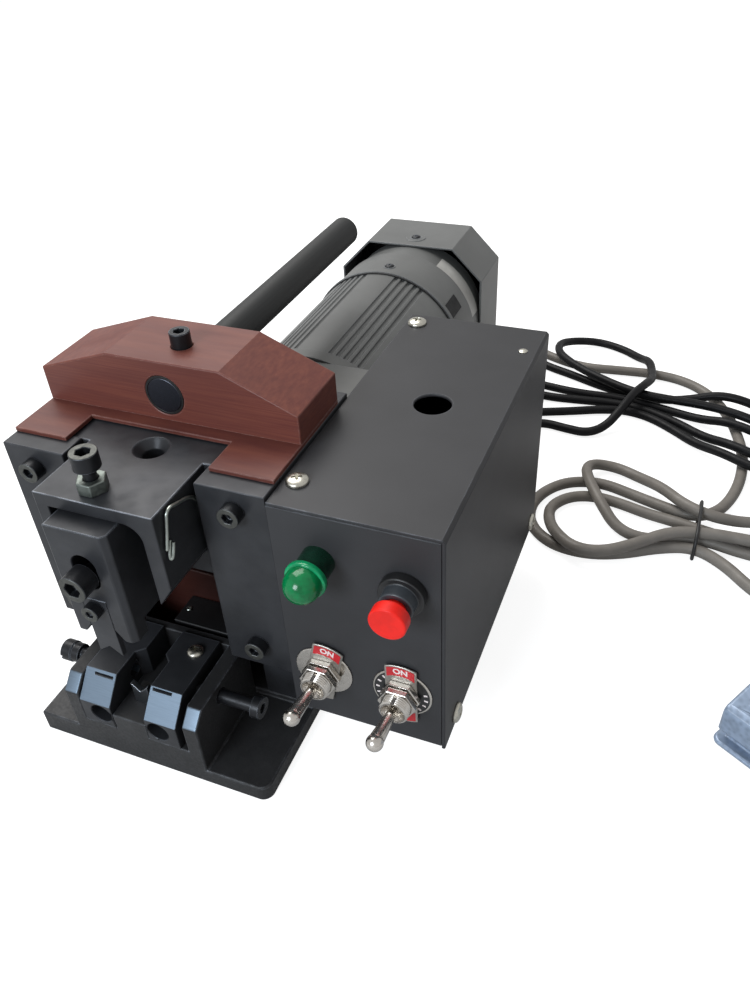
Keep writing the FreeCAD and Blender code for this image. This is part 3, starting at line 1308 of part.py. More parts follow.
def panel_parts():
    """Lamp, push button and toggle switches on the box's front."""
    left = S.frame_width
    front = S.gib_front
    x, z = left + S.lamp_place, S.lamp_height
    barrel_length = S.lamp_ridge_place + S.lamp_ridge_length
    lamp = cylinder("-Y", x, front, z, S.lamp_barrel_width, barrel_length)
    ridge = cylinder("-Y", x, front - S.lamp_ridge_place, z, S.lamp_width, S.lamp_ridge_length)
    dome = ball(x, front - S.lamp_length + S.lamp_dome_width / 2, z, S.lamp_dome_width)
    piece("lamp_lens", fuse(lamp, ridge, dome))
    piece("lamp_body", cylinder("Y", x, front, z, S.lamp_body_width, S.lamp_body_length))
    x, z = left + S.button_place, S.button_height
    barrel = fuse(cylinder("-Y", x, front, z, S.button_barrel_width, S.button_barrel_length),
                  cylinder("-Y", x, front, z, S.button_ring_width, S.button_ring_length),
                  cylinder("Y", x, front, z, S.button_thread_width, S.button_thread_length))
    bore_end = front + S.button_thread_length - 2
    bore = cylinder("-Y", x, bore_end, z, S.button_stem_width + S.fit_gap * 2,
                    S.button_barrel_length + S.button_thread_length)
    piece("button_body", cut(barrel, bore))
    cap_back = front - S.button_barrel_length - S.button_travel - S.clear_gap
    cap = cylinder("-Y", x, cap_back, z, S.button_width, S.button_cap_length)
    stem_length = S.button_barrel_length + S.button_thread_length / 2 - 1
    stem = cylinder("Y", x, cap_back, z, S.button_stem_width, stem_length)
    piece("stop_button", fuse(cap, stem))
    stem_end = float(cap_back + stem_length)
    space = float(bore_end) - stem_end
    wire, turns = 0.7, 5
    coil = helix_tube(3.4, (space - wire - 0.2) / turns, turns, wire)
    coil.rotate(Vector(), Vector(1, 0, 0), -90)
    coil.translate(Vector(float(x), stem_end + wire / 2 + 0.1, float(z)))
    made("button_spring", coil)
    bodies, rings, nuts, tags = [], [], [], []
    pin_length = S.toggle_bush_width - S.toggle_pin_wall * 2
    for place, turn in ((S.toggle_left_place, S.left_tag_turn),
                        (S.toggle_right_place, S.right_tag_turn)):
        x, z = left + place, S.toggle_height
        inside = front + S.box_sheet
        case = box(x - S.toggle_body_width / 2, inside, z - S.toggle_body_height / 2,
                   S.toggle_body_width, S.toggle_body_length, S.toggle_body_height)
        bush = cylinder("-Y", x, inside, z, S.toggle_bush_width,
                        S.box_sheet + S.toggle_bush_length)
        socket = S.toggle_ball_width + S.clear_gap * 2
        throat = cone("Y", x, front - S.toggle_bush_length, z, S.toggle_bush_width - 2.0,
                      socket, S.toggle_bush_length - S.toggle_pivot_depth)
        seat = cylinder("Y", x, front - S.toggle_pivot_depth, z, socket, S.toggle_ball_width)
        pin_seat = cylinder("X", x - pin_length / 2 - S.clear_gap, front - S.toggle_pivot_depth, z,
                            S.toggle_pin_width + S.fit_gap * 2, pin_length + S.clear_gap * 2)
        bodies.append(cut(fuse(case, bush), throat, seat, pin_seat))
        ring = cylinder("-Y", x, front, z, S.toggle_ring_width, S.toggle_ring_thickness)
        ring_hole = cylinder("-Y", x, front + 1, z, S.toggle_bush_width + S.fit_gap * 2, 4)
        rings.append(cut(ring, ring_hole))
        tag_back = front - S.toggle_ring_thickness
        tag = common(cylinder("-Y", x, tag_back, z, S.tag_span, S.tag_thickness),
                     tag_strip(x, z, turn, tag_back - S.tag_thickness))
        tag_hole = cylinder("-Y", x, front + 1, z, S.toggle_bush_width + S.fit_gap * 2, 4)
        tags.append(cut(tag, tag_hole))
        first = S.toggle_ring_thickness + S.tag_thickness
        second = first + S.toggle_nut_height + 0.8
        for seat, flats in ((first, S.toggle_nut_flats), (second, S.toggle_nut_flats - 0.6)):
            nut = hexagon("-Y", x, front - seat, z, flats, S.toggle_nut_height)
            nut_hole = cylinder("-Y", x, front, z, S.toggle_bush_width + S.fit_gap * 2, 12)
            nuts.append(cut(nut, nut_hole))
    piece("toggle_bodies", group(*bodies))
    piece("toggle_tags", group(*tags))
    piece("toggle_nuts", group(*rings, *nuts))
    for name, place in (("left_toggle_lever", S.toggle_left_place),
                        ("right_toggle_lever", S.toggle_right_place)):
        x, y, z = left + place, front - S.toggle_pivot_depth, S.toggle_height
        long = float(S.toggle_lever_length)
        tip = float(S.toggle_tip_width) / 2
        reach = float(pin_length) / 2
        lever = Part.makeCone(float(S.toggle_lever_width) / 2, float(S.toggle_bat_width) / 2,
                              long - tip)
        lever = lever.fuse(Part.makeSphere(tip, Vector(0, 0, long - tip)))
        lever = lever.fuse(Part.makeSphere(float(S.toggle_ball_width) / 2))
        lever = lever.fuse(Part.makeCylinder(float(S.toggle_pin_width) / 2, reach * 2,
                                             Vector(-reach, 0, 0), Vector(1, 0, 0)))
        lever = lever.removeSplitter()
        lever.rotate(Vector(), Vector(1, 0, 0), 90 - float(S.toggle_tilt))
        lever.translate(Vector(float(x), float(y), float(z)))
        made(name, lever)
    glands = []
    back = front + S.box_depth
    for place, wide in ((S.mains_gland_place, S.mains_cord_width),
                        (S.pedal_gland_place, S.pedal_cord_width)):
        x, z = left + place, S.box_bottom + S.gland_height
        inner = cylinder("-Y", x, back, z, S.gland_width - 6, 7)
        body = hexagon("Y", x, back, z, S.gland_width, 5)
        nose = cone("Y", x, back + 5, z, S.gland_width - 2, wide + 3, S.gland_length - 5)
        glands.append(fuse(inner, body, nose))
    piece("cord_glands", group(*glands))


# Routes of the cords as points chosen along them, in millimetres from the base's front left corner.
# The mains cord goes from its gland down behind the box, round in a loop that wraps its own bundle,
# then to and fro four times, and ends in its plug.
MAINS_START = [(0, 17, -1), (-3, 36, -13), (-11, 54, -34)]
MAINS_ROUTE = [
    (138, 268, 5), (135, 285, 3), (141, 300, 3), (155, 307, 3), (171, 304, 3), (184, 303, 3),
    (194, 311, 5), (201, 324, 12), (206, 338, 16.1), (212, 353, 16.1), (214.5, 367, 12),
    (213, 381, 10.1), (209.5, 395, 9.9), (202, 408, 4), (189, 420, 3), (170, 427, 3),
    (153, 418, 6), (144, 403, 10), (147, 389, 10.2),
    (157, 378, 10.2), (170, 369, 9.6), (184, 361, 9.5), (198, 354, 9.5), (213, 349, 9.5),
    (229, 348, 9.5), (246, 347, 9.9), (262, 344, 10.2), (279, 338, 9.9), (293, 338, 4), (308, 344, 3),
    (323, 344, 3), (334, 333, 3), (332, 318, 3), (319, 310, 3), (303, 312, 5),
    (287, 321, 9.9), (266, 331, 10),
    (250, 338, 4), (230, 344.5, 3), (210, 350, 3), (190, 351, 3), (168, 350, 3), (146, 353, 3),
    (124, 357, 3), (103, 358, 3), (87, 368, 3), (86, 386, 3), (101, 397, 3), (122, 392, 3),
    (141, 380, 3), (160, 373, 3), (178, 365, 3), (195, 359, 3), (212, 356.5, 3), (229, 358, 3),
    (243, 361, 5), (257, 362, 9.9), (273, 360, 9.9), (290, 359, 4), (310, 362, 3), (333, 356, 3),
    (347, 336, 3), (341, 312, 3), (323, 298, 4), (303, 294, 8), (285, 297, 9.9), (268, 306, 9.9),
    (253, 318, 4), (235, 332, 3), (215, 341.5, 3), (194, 344, 3), (171, 341, 3), (150, 339, 3),
    (130, 343, 3), (109, 344, 3), (94, 335, 3), (94, 318, 3), (109, 308, 3), (131, 311, 3),
    (151, 319, 3), (170, 326, 3), (186, 333, 3), (202, 337, 3), (218, 333.5, 3), (234, 323, 3),
    (249, 309, 4), (264, 296, 9.5), (280, 286, 10), (297, 281, 9), (312, 283, 9.5),
]
# The pedal's cord passes under the mains cord, makes three loops that a wire tie holds with two
# folds on its other side, and ends in the pedal.
PEDAL_START = [(0, 17, -1), (-6, 36, -14), (-17, 55, -33)]
PEDAL_ROUTE = [
    (101, 269, 8), (86, 286, 3.3), (72, 306, 3.3), (63, 330, 3.3), (62, 356, 3.3), (68, 382, 3.3),
    (83, 402, 3.3), (103, 410, 3.3), (124, 404, 3.3), (143, 393, 3.3), (166, 385, 3.3),
    (191, 388, 3.3), (214, 390, 3.3), (235, 386, 3.3), (252, 373, 3.3), (264, 353, 3.3),
    (272, 330, 3.3), (277, 305, 3.3), (277, 281, 3.3), (273, 260, 3.3), (266, 243, 4.5),
    (254, 234, 5.6), (238, 239.5, 4.4), (220, 247, 3.3), (202, 253, 3.3), (184, 249, 3.3),
    (172, 236, 3.3), (167, 219, 3.3), (171, 202, 3.3), (185, 190, 3.3), (204, 188, 3.3),
    (222, 194, 3.3), (240, 204, 4.4), (257, 208.5, 5.6), (273, 201, 4.4), (287, 187, 3.3),
    (302, 178, 3.3), (317, 181, 3.3), (323, 194, 3.3), (317, 207, 3.3), (302, 213.5, 3.3),
    (281, 213.5, 3.8), (262, 216, 5.6), (246, 214, 4.8), (231, 209, 3.3), (216, 213, 4.5),
    (205, 226, 9.5), (197, 240, 10.5), (191, 254, 10.5), (194, 268, 5.5), (208, 271, 3.3),
    (222, 263, 4.5), (235, 250, 10), (248, 235, 12.3), (262, 229, 12.3), (278, 235, 7),
    (294, 245, 3.3), (311, 253, 3.3), (328, 258, 3.3), (344, 259, 3.3), (357, 251, 3.3),
    (359, 237, 3.3), (349, 227, 3.3), (333, 220.5, 3.3),
    (314, 220, 3.3), (297, 222, 3.3), (279, 222, 4.2), (262, 223, 5.6), (246, 228, 4.6),
    (230, 232, 3.3), (214, 237, 3.3), (199, 239, 3.3), (186, 234, 3.3), (178, 222, 3.3),
    (180, 207, 6.5), (186, 193, 10), (198, 183, 10.2), (212, 184, 10.2), (227, 195, 10.2),
    (243, 209, 12.2), (262, 214, 12.3), (280, 216, 11), (301, 216.8, 10.2), (323, 216, 10.2),
    (344, 217.5, 6.5), (356.5, 222, 3.3), (368.5, 223, 3.3), (379.5, 218, 4.5), (385.5, 207.5, 8),
    (384.5, 195.5, 12),
]
TIE_PLACE = 256.0
TIE_FRONT = 201.9
TIE_BACK = 242.5
TIE_TOP = 17.4
PLUG_PLACE = (326, 286, 10.2)
SPOT_SPACING = 1.5


def least_gap(path, width):
    """Least gap between stretches of a tube that are more than four widths apart along it."""
    spots = path.discretize(Distance=SPOT_SPACING)
    apart = int(4 * width / SPOT_SPACING) + 1
    return min(spot.distanceToPoint(other)
               for i, spot in enumerate(spots) for other in spots[i + apart:]) - width


def cord(name, start, first, route, end, width):
    points = [start] + [tuple(a + b for a, b in zip(start, step)) for step in first]
    points += route + end
    tube, path, bend = tube_along(points, width)
    plain = math.pi * width ** 2 / 4 * path.Length
    print(f"{name}: {path.Length:.0f} mm, smallest bend {bend:.1f} mm, least gap to itself "
          f"{least_gap(path, width):.2f} mm, volume over section times length "
          f"{tube.Volume / plain:.4f}")
    made(name, tube)


def band(shrink):
    """The tie's outline round the strands, in Y and Z."""
    front, back, top, low = TIE_FRONT + shrink, TIE_BACK - shrink, TIE_TOP - shrink, shrink + 0.2
    corner = 4.0
    return [(front, low + 1), (front + 2, low), (back - 2, low), (back, low + 1),
            (back, top - corner), (back - corner, top), (front + corner, top),
            (front, top - corner)]


def cords():
    back = float(S.gib_front + S.box_depth + S.gland_length)
    height = float(S.box_bottom + S.gland_height)
    left = float(S.frame_width)
    cord("mains_cord", (left + float(S.mains_gland_place), back, height), MAINS_START,
         MAINS_ROUTE, [PLUG_PLACE], float(S.mains_cord_width))
    entry, straight = [pedal_point(float(S.pedal_gland_shift), float(S.pedal_length) + further,
                                   float(S.pedal_gland_height)) for further in (0, 10)]
    cord("pedal_cord", (left + float(S.pedal_gland_place), back, height), PEDAL_START,
         PEDAL_ROUTE, [straight, entry], float(S.pedal_cord_width))
    width = S.tie_width * 1.4
    piece("cord_tie", cut(prism("X", band(0), TIE_PLACE, width),
                          prism("X", band(float(S.tie_width)), TIE_PLACE - 1, width + 2)))
    x, y, z = PLUG_PLACE
    relief = cone("X", x, y, z, S.mains_cord_width + 3, 14.0, S.plug_relief_length)
    start = x + S.plug_relief_length
    shell = box(start, y - S.plug_width / 2, z - S.plug_height / 2, S.plug_length,
                S.plug_width, S.plug_height)
    pins = [box(start + S.plug_length - 1, y + across - 0.8, z + rise - 3.2,
                S.plug_pin_length + 1, 1.6, 6.4)
            for across, rise in ((-7.0, 2.0), (7.0, 2.0), (0, -5.0))]
    piece("mains_plug", fuse(relief, shell, *pins))


def pedal_point(across, along, height):
    """A place on the pedal, from its front left corner, as machine coordinates."""
    turn = math.radians(float(S.pedal_turn))
    return (float(S.pedal_left) + across * math.cos(turn) - along * math.sin(turn),
            float(S.pedal_front) + across * math.sin(turn) + along * math.cos(turn), height)


def pedal_piece(name, feature):
    """Moves a piece that is drawn from the pedal's own corner to where the pedal stands."""
    feature.Placement = Placement(Vector(), Rotation(Vector(0, 0, 1), float(S.pedal_turn)))
    feature.Label = name
    feature.setExpression("Placement.Base.x", (ORIGIN_X + S.pedal_left).formula)
    feature.setExpression("Placement.Base.y", (ORIGIN_Y + S.pedal_front).formula)
    PIECES[name] = feature


def pedal():
    """Cast foot switch: a case with a tower at the back, and a ribbed treadle over its walls."""
    wide, long = S.pedal_width, S.pedal_length
    pivot_y, pivot_z = S.treadle_pivot_depth, S.treadle_pivot_height
    edge, skirt = S.treadle_inset, S.treadle_plate
    tower_front = long - S.pedal_tower
    plate = prism("Z", [(0, 0), (wide, 0), (wide, long), (0, long)], 0, S.pedal_floor)
    for x in (wide * 0, wide):
        plate = rounded(plate, upright(x, 0), S.pedal_corner)
    side = edge + skirt + S.treadle_side_gap
    front = edge + skirt + S.treadle_front_gap
    tub_back = tower_front - S.treadle_front_gap * 2 - skirt
    tub = box(side, front, 0, wide - side * 2, tub_back - front, S.pedal_wall_height)
    room = box(side + S.pedal_wall, front + S.pedal_wall, S.pedal_floor,
               wide - side * 2 - S.pedal_wall * 2, tower_front - front - S.pedal_wall,
               S.pedal_wall_height)
    tower = prism("X", [(tower_front, 0), (long, 0), (long, S.pedal_back_height - 8),
                        (long - 8, S.pedal_back_height), (tower_front, S.pedal_back_height)],
                  0, wide)
    ears = [prism("X", [(pivot_y - 12, 0), (pivot_y + 8, 0), (pivot_y + 5, pivot_z + 5),
                        (pivot_y - 5, pivot_z + 5)], x, S.pedal_wall)
            for x in (side, wide - side - S.pedal_wall)]
    pin = cylinder("X", edge, pivot_y, pivot_z, S.treadle_pin_width, wide - edge * 2)
    pedal_piece("pedal_case", fuse(cut(fuse(plate, tub), room), tower, *ears, pin))
    low, back = S.treadle_low, tower_front - S.treadle_front_gap
    rise = (S.treadle_back_height - S.treadle_front_height) / (back - edge)
    body = prism("X", [(edge, low), (back, low), (back, S.treadle_back_height),
                       (edge + 2, S.treadle_front_height + rise * 2),
                       (edge, S.treadle_front_height - 2)], edge, wide - edge * 2)
    hollow = prism("X", [(edge + skirt, -1), (back - skirt, -1),
                         (back - skirt, S.treadle_back_height - skirt * 1.3),
                         (edge + skirt, S.treadle_front_height - skirt)],
                   edge + skirt, wide - edge * 2 - skirt * 2)
    bore = cylinder("X", edge - 1, pivot_y, pivot_z, S.treadle_pin_width + S.fit_gap * 2,
                    wide - edge * 2 + 2)
    ribs = []
    margin = S.treadle_margin
    count = int(float((wide - margin * 2) / S.rib_spacing))
    for i in range(count + 1):
        x = margin + S.rib_spacing * i
        ribs.append(prism("X", [
            (edge + margin, S.treadle_front_height + rise * margin - 1),
            (back - margin, S.treadle_back_height - rise * margin - 1),
            (back - margin, S.treadle_back_height - rise * margin + 0.9),
            (edge + margin, S.treadle_front_height + rise * margin + 0.9)], x, S.rib_width))
    pedal_piece("pedal_treadle", cut(fuse(cut(body, hollow), *ribs), bore))
    height = S.treadle_front_height - S.treadle_swing_drop - S.treadle_plate
    top = height - S.pedal_plunger_height
    block = box(wide / 2 - S.pedal_switch_width / 2, pivot_y - S.pedal_switch_place, S.pedal_floor,
                S.pedal_switch_width, S.pedal_switch_length, top - S.pedal_floor)
    plunger = cylinder("Z", wide / 2, pivot_y - S.pedal_plunger_place, top,
                       S.pedal_plunger_width, S.pedal_plunger_height)
    pedal_piece("pedal_switch", fuse(block, plunger))


def frame_screws():
    """The like socket screws of the frame: gib plates, housing and gearbox."""
    piece("frame_screws", group(*FRAME_SCREWS))


def build_machine():
    base_casting()
    jaws()
    jaw_screws()
    lower_blade()
    head_housing()
    gib_plates()
    slider()
    blade_holder()
    clamp_screw()
    adjusting_screw()
    presser()
    cavity_parts()
    feeler_wire()
    bridge()
    drive_train()
    motor()
    control_box()
    panel_parts()
    frame_screws()
    cords()
    pedal()


build_machine()
doc.recompute()

faults = [f"{o.Name} {o.State}" for o in doc.Objects if {"Invalid", "Error"} & set(o.State)]
faults += [name for name, feature in PIECES.items()
           if feature.Shape.isNull() or not feature.Shape.isValid() or not feature.Shape.Solids]
if faults:
    raise RuntimeError("pieces failed: " + ", ".join(faults))
os.makedirs("parts", exist_ok=True)
for name, feature in PIECES.items():
    feature.Shape.exportStep(f"parts/{name}.step")
print(len(PIECES), "pieces written")
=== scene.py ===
import json
import math
from types import SimpleNamespace

import bmesh
import bpy
from bpy.props import FloatProperty, FloatVectorProperty, IntProperty, PointerProperty
from mathutils import Matrix, Vector

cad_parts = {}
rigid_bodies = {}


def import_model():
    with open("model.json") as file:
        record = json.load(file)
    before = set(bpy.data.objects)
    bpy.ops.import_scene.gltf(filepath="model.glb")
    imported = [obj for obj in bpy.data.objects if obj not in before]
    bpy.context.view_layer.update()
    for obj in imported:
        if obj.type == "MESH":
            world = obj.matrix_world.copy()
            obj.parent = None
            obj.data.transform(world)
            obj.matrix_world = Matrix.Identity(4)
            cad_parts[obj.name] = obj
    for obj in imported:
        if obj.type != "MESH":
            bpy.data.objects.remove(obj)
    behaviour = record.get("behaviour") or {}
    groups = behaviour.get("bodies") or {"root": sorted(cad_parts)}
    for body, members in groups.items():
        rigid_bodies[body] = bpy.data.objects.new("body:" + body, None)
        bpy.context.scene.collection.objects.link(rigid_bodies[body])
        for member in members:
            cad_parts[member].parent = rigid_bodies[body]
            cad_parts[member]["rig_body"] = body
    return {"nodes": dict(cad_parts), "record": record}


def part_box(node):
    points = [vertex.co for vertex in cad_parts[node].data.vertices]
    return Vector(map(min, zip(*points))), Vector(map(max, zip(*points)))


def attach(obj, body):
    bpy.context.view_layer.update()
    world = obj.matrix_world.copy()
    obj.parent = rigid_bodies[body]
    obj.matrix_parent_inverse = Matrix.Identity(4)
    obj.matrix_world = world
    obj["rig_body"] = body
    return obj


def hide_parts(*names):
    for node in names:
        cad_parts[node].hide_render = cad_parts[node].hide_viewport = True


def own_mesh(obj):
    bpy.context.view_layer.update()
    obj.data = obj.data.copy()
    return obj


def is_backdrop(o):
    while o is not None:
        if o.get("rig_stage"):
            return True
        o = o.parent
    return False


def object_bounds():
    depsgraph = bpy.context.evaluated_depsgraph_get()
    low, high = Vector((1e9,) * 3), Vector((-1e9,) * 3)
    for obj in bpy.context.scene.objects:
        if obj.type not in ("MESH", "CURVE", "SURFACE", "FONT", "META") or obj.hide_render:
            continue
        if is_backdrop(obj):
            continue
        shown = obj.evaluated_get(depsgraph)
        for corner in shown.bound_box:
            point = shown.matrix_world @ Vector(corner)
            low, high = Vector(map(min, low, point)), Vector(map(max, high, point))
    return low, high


bl_info = {
    "name": "Wire Stripping Machine",
    "version": (1, 0, 0),
    "blender": (4, 5, 0),
    "location": "3D View > Sidebar > Wire Stripper",
    "description": "Dresses the bench wire stripping machine with its finishes and details",
    "category": "Object",
}

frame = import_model()
CAD_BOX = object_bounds()

MM = 0.001
UP = Vector((0, 0, 1))
# The base casting's front left corner, from which places are given.
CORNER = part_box("base_casting")[0]


def at(x, y, z):
    """A place in metres, from millimetres right of, behind and above the base's corner."""
    return CORNER + Vector((x, y, z)) * MM


def linear(code):
    """An sRGB hex colour as linear red, green and blue."""
    parts = [int(code[i:i + 2], 16) / 255 for i in (1, 3, 5)]
    return tuple(c / 12.92 if c <= 0.04045 else ((c + 0.055) / 1.055) ** 2.4 for c in parts)


def shade(name, code, words):
    return FloatVectorProperty(name=name, description=words, default=linear(code), subtype="COLOR",
                               size=3, min=0, max=1)


def length(name, size, words):
    return FloatProperty(name=name, description=words, default=size * MM, unit="LENGTH", min=0)


class StripperSizes(bpy.types.PropertyGroup):
    """Sizes of the details that the solids leave out."""
    casting_edge: length("Casting edge", 0.7, "Rounding of the base casting's edges")
    plate_edge: length("Plate edge", 0.45, "Rounding of the machined plates' edges")
    screw_edge: length("Screw edge", 0.3, "Rounding of the socket screws' edges")
    bakelite_edge: length("Bakelite edge", 0.5, "Rounding of the bridge's edges")
    sheet_edge: length("Sheet edge", 0.5, "Rounding of the folded sheet's edges")
    thread_pitch: length("Thread pitch", 0.9, "Pitch of the toggle bushes' thread")
    edge_steps: IntProperty(name="Edge steps", description="Segments across a rounded edge",
                            default=2, min=1, max=6)


class StripperColours(bpy.types.PropertyGroup):
    """Colours of the finishes, as seen in plain daylight."""
    blackened: shade("Blackened steel", "#303134", "Chemically blackened machined steel")
    # Worn edge: rubbed wear, and also a painted highlight on upward edges where a finish gives lit
    # slopes.
    worn: shade("Worn edge", "#a9afb9", "Steel where the black is rubbed off")
    casting: shade("Casting", "#2d2d2e", "Blackened base casting")
    # The bevels' bare steel; its blue tint is a painted reflection.
    bevel: shade("Ground bevel", "#5e6a76", "Ground bevels of the jaws")
    oxide: shade("Black oxide", "#202124", "Hardened socket screws")
    rod: shade("Guide rod", "#222323", "Black coated rod")
    # The cut end is bare steel; its dark blue-grey is partly a painted reflection.
    rod_end: shade("Rod end", "#45474f", "Cut end of the rod")
    zinc: shade("Zinc", "#a3a9a3", "Zinc plated wire and rivets")
    chrome: shade("Chrome", "#d2cdc6", "Nickel and chrome plating")
    bakelite: shade("Bakelite", "#653630", "Red-brown laminated bakelite")
    bakelite_light: shade("Bakelite layer", "#784438", "Lighter layers of the bakelite")
    motor: shade("Motor enamel", "#636463", "Grey enamel on the motor")
    box: shade("Box paint", "#353537", "Dark powder coat on the control box")
    lens: shade("Lens", "#057a44", "Green lens of the lamp")
    # The ridge's and barrel's greens are the lens's green painted lighter as a highlight and
    # darker as shade.
    lens_rim: shade("Lens rim", "#0fa368", "Bright ridge of the lens")
    lens_barrel: shade("Lens barrel", "#0f3325", "Dark green barrel of the lamp")
    red: shade("Red cap", "#f4251c", "Red button cap")
    tag: shade("Tag", "#c9202b", "Red print on the switch tags")
    mains: shade("Mains jacket", "#141416", "Black jacket of the mains cord")
    grey_jacket: shade("Pedal jacket", "#77726c", "Grey jacket of the pedal's cord")
    pedal: shade("Pedal enamel", "#8c9cb2", "Blue-grey hammered enamel")


# Pale colours where the bakelite's edges are chipped and the pedal's enamel is rubbed.
CHIPPED_BAKELITE, RUBBED_ENAMEL = linear("#b9a097"), linear("#b9c3d0")


def add(tree, kind, sockets=None, **settings):
    """Adds a node with its settings; a socket gets a value or a link from another socket."""
    made = tree.nodes.new(kind)
    for word, value in settings.items():
        setattr(made, word, value)
    for word, value in (sockets or {}).items():
        if isinstance(value, bpy.types.NodeSocket):
            tree.links.new(value, made.inputs[word])
        else:
            made.inputs[word].default_value = value
    return made


def tint(colour, share):
    """The colour made darker or lighter by a share."""
    return [min(1.0, c * share) for c in colour]


def grain(size, low=0.3, high=0.7, start=0.0, end=1.0, detail=4.0, stretch=(1, 1, 1),
          roughness=0.55, cells=False):
    """A pattern whose lumps are about size millimetres wide, longer along the ways with a stretch
    over 1. As a mask it runs from start to end while the pattern goes from low to high."""
    return SimpleNamespace(**locals())


def rubbing(colour, reach, share=1.0, patches=None, slopes=None, turns=(0.004, 0.07)):
    """A colour that shows for a share of what lies within reach millimetres of a sharp edge, in
    patches of a grain: rubbed wear. With lit slopes, only edges that face up from the first to the
    second count, and the colour is then also a painted highlight where light from above catches
    them. It starts and is full at the two turns of the rounded normal."""
    return SimpleNamespace(**locals())


def pattern(tree, place, lumps):
    """The grain's noise, or its round cells."""
    scaled = add(tree, "ShaderNodeVectorMath", {
        0: place, 1: [1 / (lumps.size * MM * k) for k in lumps.stretch]}, operation="MULTIPLY")
    if lumps.cells:
        return add(tree, "ShaderNodeTexVoronoi", {"Vector": scaled.outputs[0], "Scale": 1.0},
                   feature="SMOOTH_F1").outputs["Distance"]
    return add(tree, "ShaderNodeTexNoise", {
        "Vector": scaled.outputs[0], "Scale": 1.0, "Detail": lumps.detail,
        "Roughness": lumps.roughness}).outputs["Fac"]


def mask(tree, place, lumps):
    """The grain's pattern, run from its start to its end and held there outside."""
    return add(tree, "ShaderNodeMapRange", {
        "Value": pattern(tree, place, lumps), "From Min": lumps.low, "From Max": lumps.high,
        "To Min": lumps.start, "To Max": lumps.end}).outputs["Result"]


def rubbed_edges(tree, place, wear):
    """Where edges are rubbed, and on lit slopes painted with a highlight, from the turn of a
    normal that is rounded over the wear's reach.
    """
    soft = add(tree, "ShaderNodeBevel", {"Radius": wear.reach * MM}, samples=6).outputs[0]
    sharp = add(tree, "ShaderNodeNewGeometry").outputs["Normal"]
    dot = add(tree, "ShaderNodeVectorMath", {0: soft, 1: sharp}, operation="DOT_PRODUCT")
    turn = add(tree, "ShaderNodeMath", {0: 1.0, 1: dot.outputs["Value"]}, operation="SUBTRACT")
    spans = [(turn.outputs[0], wear.turns)]
    if wear.slopes:
        slope = add(tree, "ShaderNodeSeparateXYZ", {"Vector": soft}).outputs["Z"]
        spans.append((slope, wear.slopes))
    parts = [add(tree, "ShaderNodeMapRange", {"Value": value, "From Min": low, "From Max": high})
             .outputs["Result"] for value, (low, high) in spans]
    if wear.patches:
        parts.append(mask(tree, place, wear.patches))
    worn = wear.share
    for part in parts:
        worn = add(tree, "ShaderNodeMath", {0: part, 1: worn}, operation="MULTIPLY").outputs[0]
    return worn


def start_finish(name, **values):
    """A new material with its shader's plain values; returns it, its nodes and the shader."""
    material = bpy.data.materials.new(name)
    material.use_nodes = True
    shader = material.node_tree.nodes["Principled BSDF"]
    for word, value in values.items():
        shader.inputs[word.replace("_", " ").title().replace("Ior", "IOR")].default_value = value
    return material, material.node_tree, shader


def finish(name, colour, *layers, wear=None, gloss=None, relief=None, **values):
    """A material with layers over a first colour, each a grain and the colour that it shows, and
    wear last, which on lit slopes is also a painted highlight. The gloss grain runs between two
    roughnesses. Relief is a grain, its depth in millimetres and its strength."""
    material, tree, shader = start_finish(name, **values)
    place = add(tree, "ShaderNodeTexCoord").outputs["Object"]
    layers = [(mask(tree, place, lumps), top) for lumps, top in layers]
    if wear:
        layers.append((rubbed_edges(tree, place, wear), wear.colour))
    colour = (*colour, 1.0)
    for share, top in layers:
        colour = add(tree, "ShaderNodeMix", {0: share, 6: colour, 7: (*top, 1.0)},
                     data_type="RGBA").outputs[2]
    tree.links.new(colour, shader.inputs["Base Color"])
    if gloss:
        tree.links.new(mask(tree, place, gloss), shader.inputs["Roughness"])
    if relief:
        lumps, depth, strength = relief
        raised = add(tree, "ShaderNodeBump", {"Height": pattern(tree, place, lumps),
                                              "Distance": depth * MM, "Strength": strength})
        tree.links.new(raised.outputs[0], shader.inputs["Normal"])
    return material


def blackened_steel(colours, name="blackened_steel_milled", rubbed=0.3, lift=1.0):
    """Machined steel blackened in a salt bath: satin, nearly black, with fine milling marks and
    rubbed bright along its upward edges, which is partly wear and partly a painted highlight. A
    lift over 1 paints the whole colour lighter, as painted light."""
    base = tint(colours.blackened, lift)
    return finish(name, tint(base, 0.82), (grain(22), tint(base, 1.3)),
                  wear=rubbing(colours.worn, 0.8, rubbed, grain(9, 0.35, 0.6, 0.35), (0.3, 0.6)),
                  gloss=grain(7, 0.35, 0.7, 0.33, 0.5),
                  relief=(grain(0.5, detail=3, stretch=(18, 1, 1)), 0.02, 0.35),
                  metallic=0.3, roughness=0.4, specular_ior_level=0.32)


def cast_base(colours):
    """Blackened casting, coarser than the machined plates: a grainy satin skin."""
    skin = grain(1.1, 0.3, 0.7, 0.42, 0.6, detail=5)
    return finish("cast_iron_blackened", tint(colours.casting, 0.8),
                  (grain(16), tint(colours.casting, 1.25)),
                  wear=rubbing(colours.worn, 0.9, 0.5, grain(4, 0.4, 0.65, 0.1)), gloss=skin,
                  relief=(skin, 0.06, 0.5), metallic=0.25, roughness=0.5, specular_ior_level=0.35)


def ground_bevel(colours):
    """Bare steel of the jaws' bevels, surface ground, with fine straight scratches; its blue-grey
    tint is a painted reflection of cool light.
    """
    lines = grain(0.3, detail=2, stretch=(30, 1, 1))
    return finish("tool_steel_ground", tint(colours.bevel, 0.92),
                  (lines, tint(colours.bevel, 1.07)), relief=(lines, 0.01, 0.3),
                  metallic=0.85, roughness=0.42)


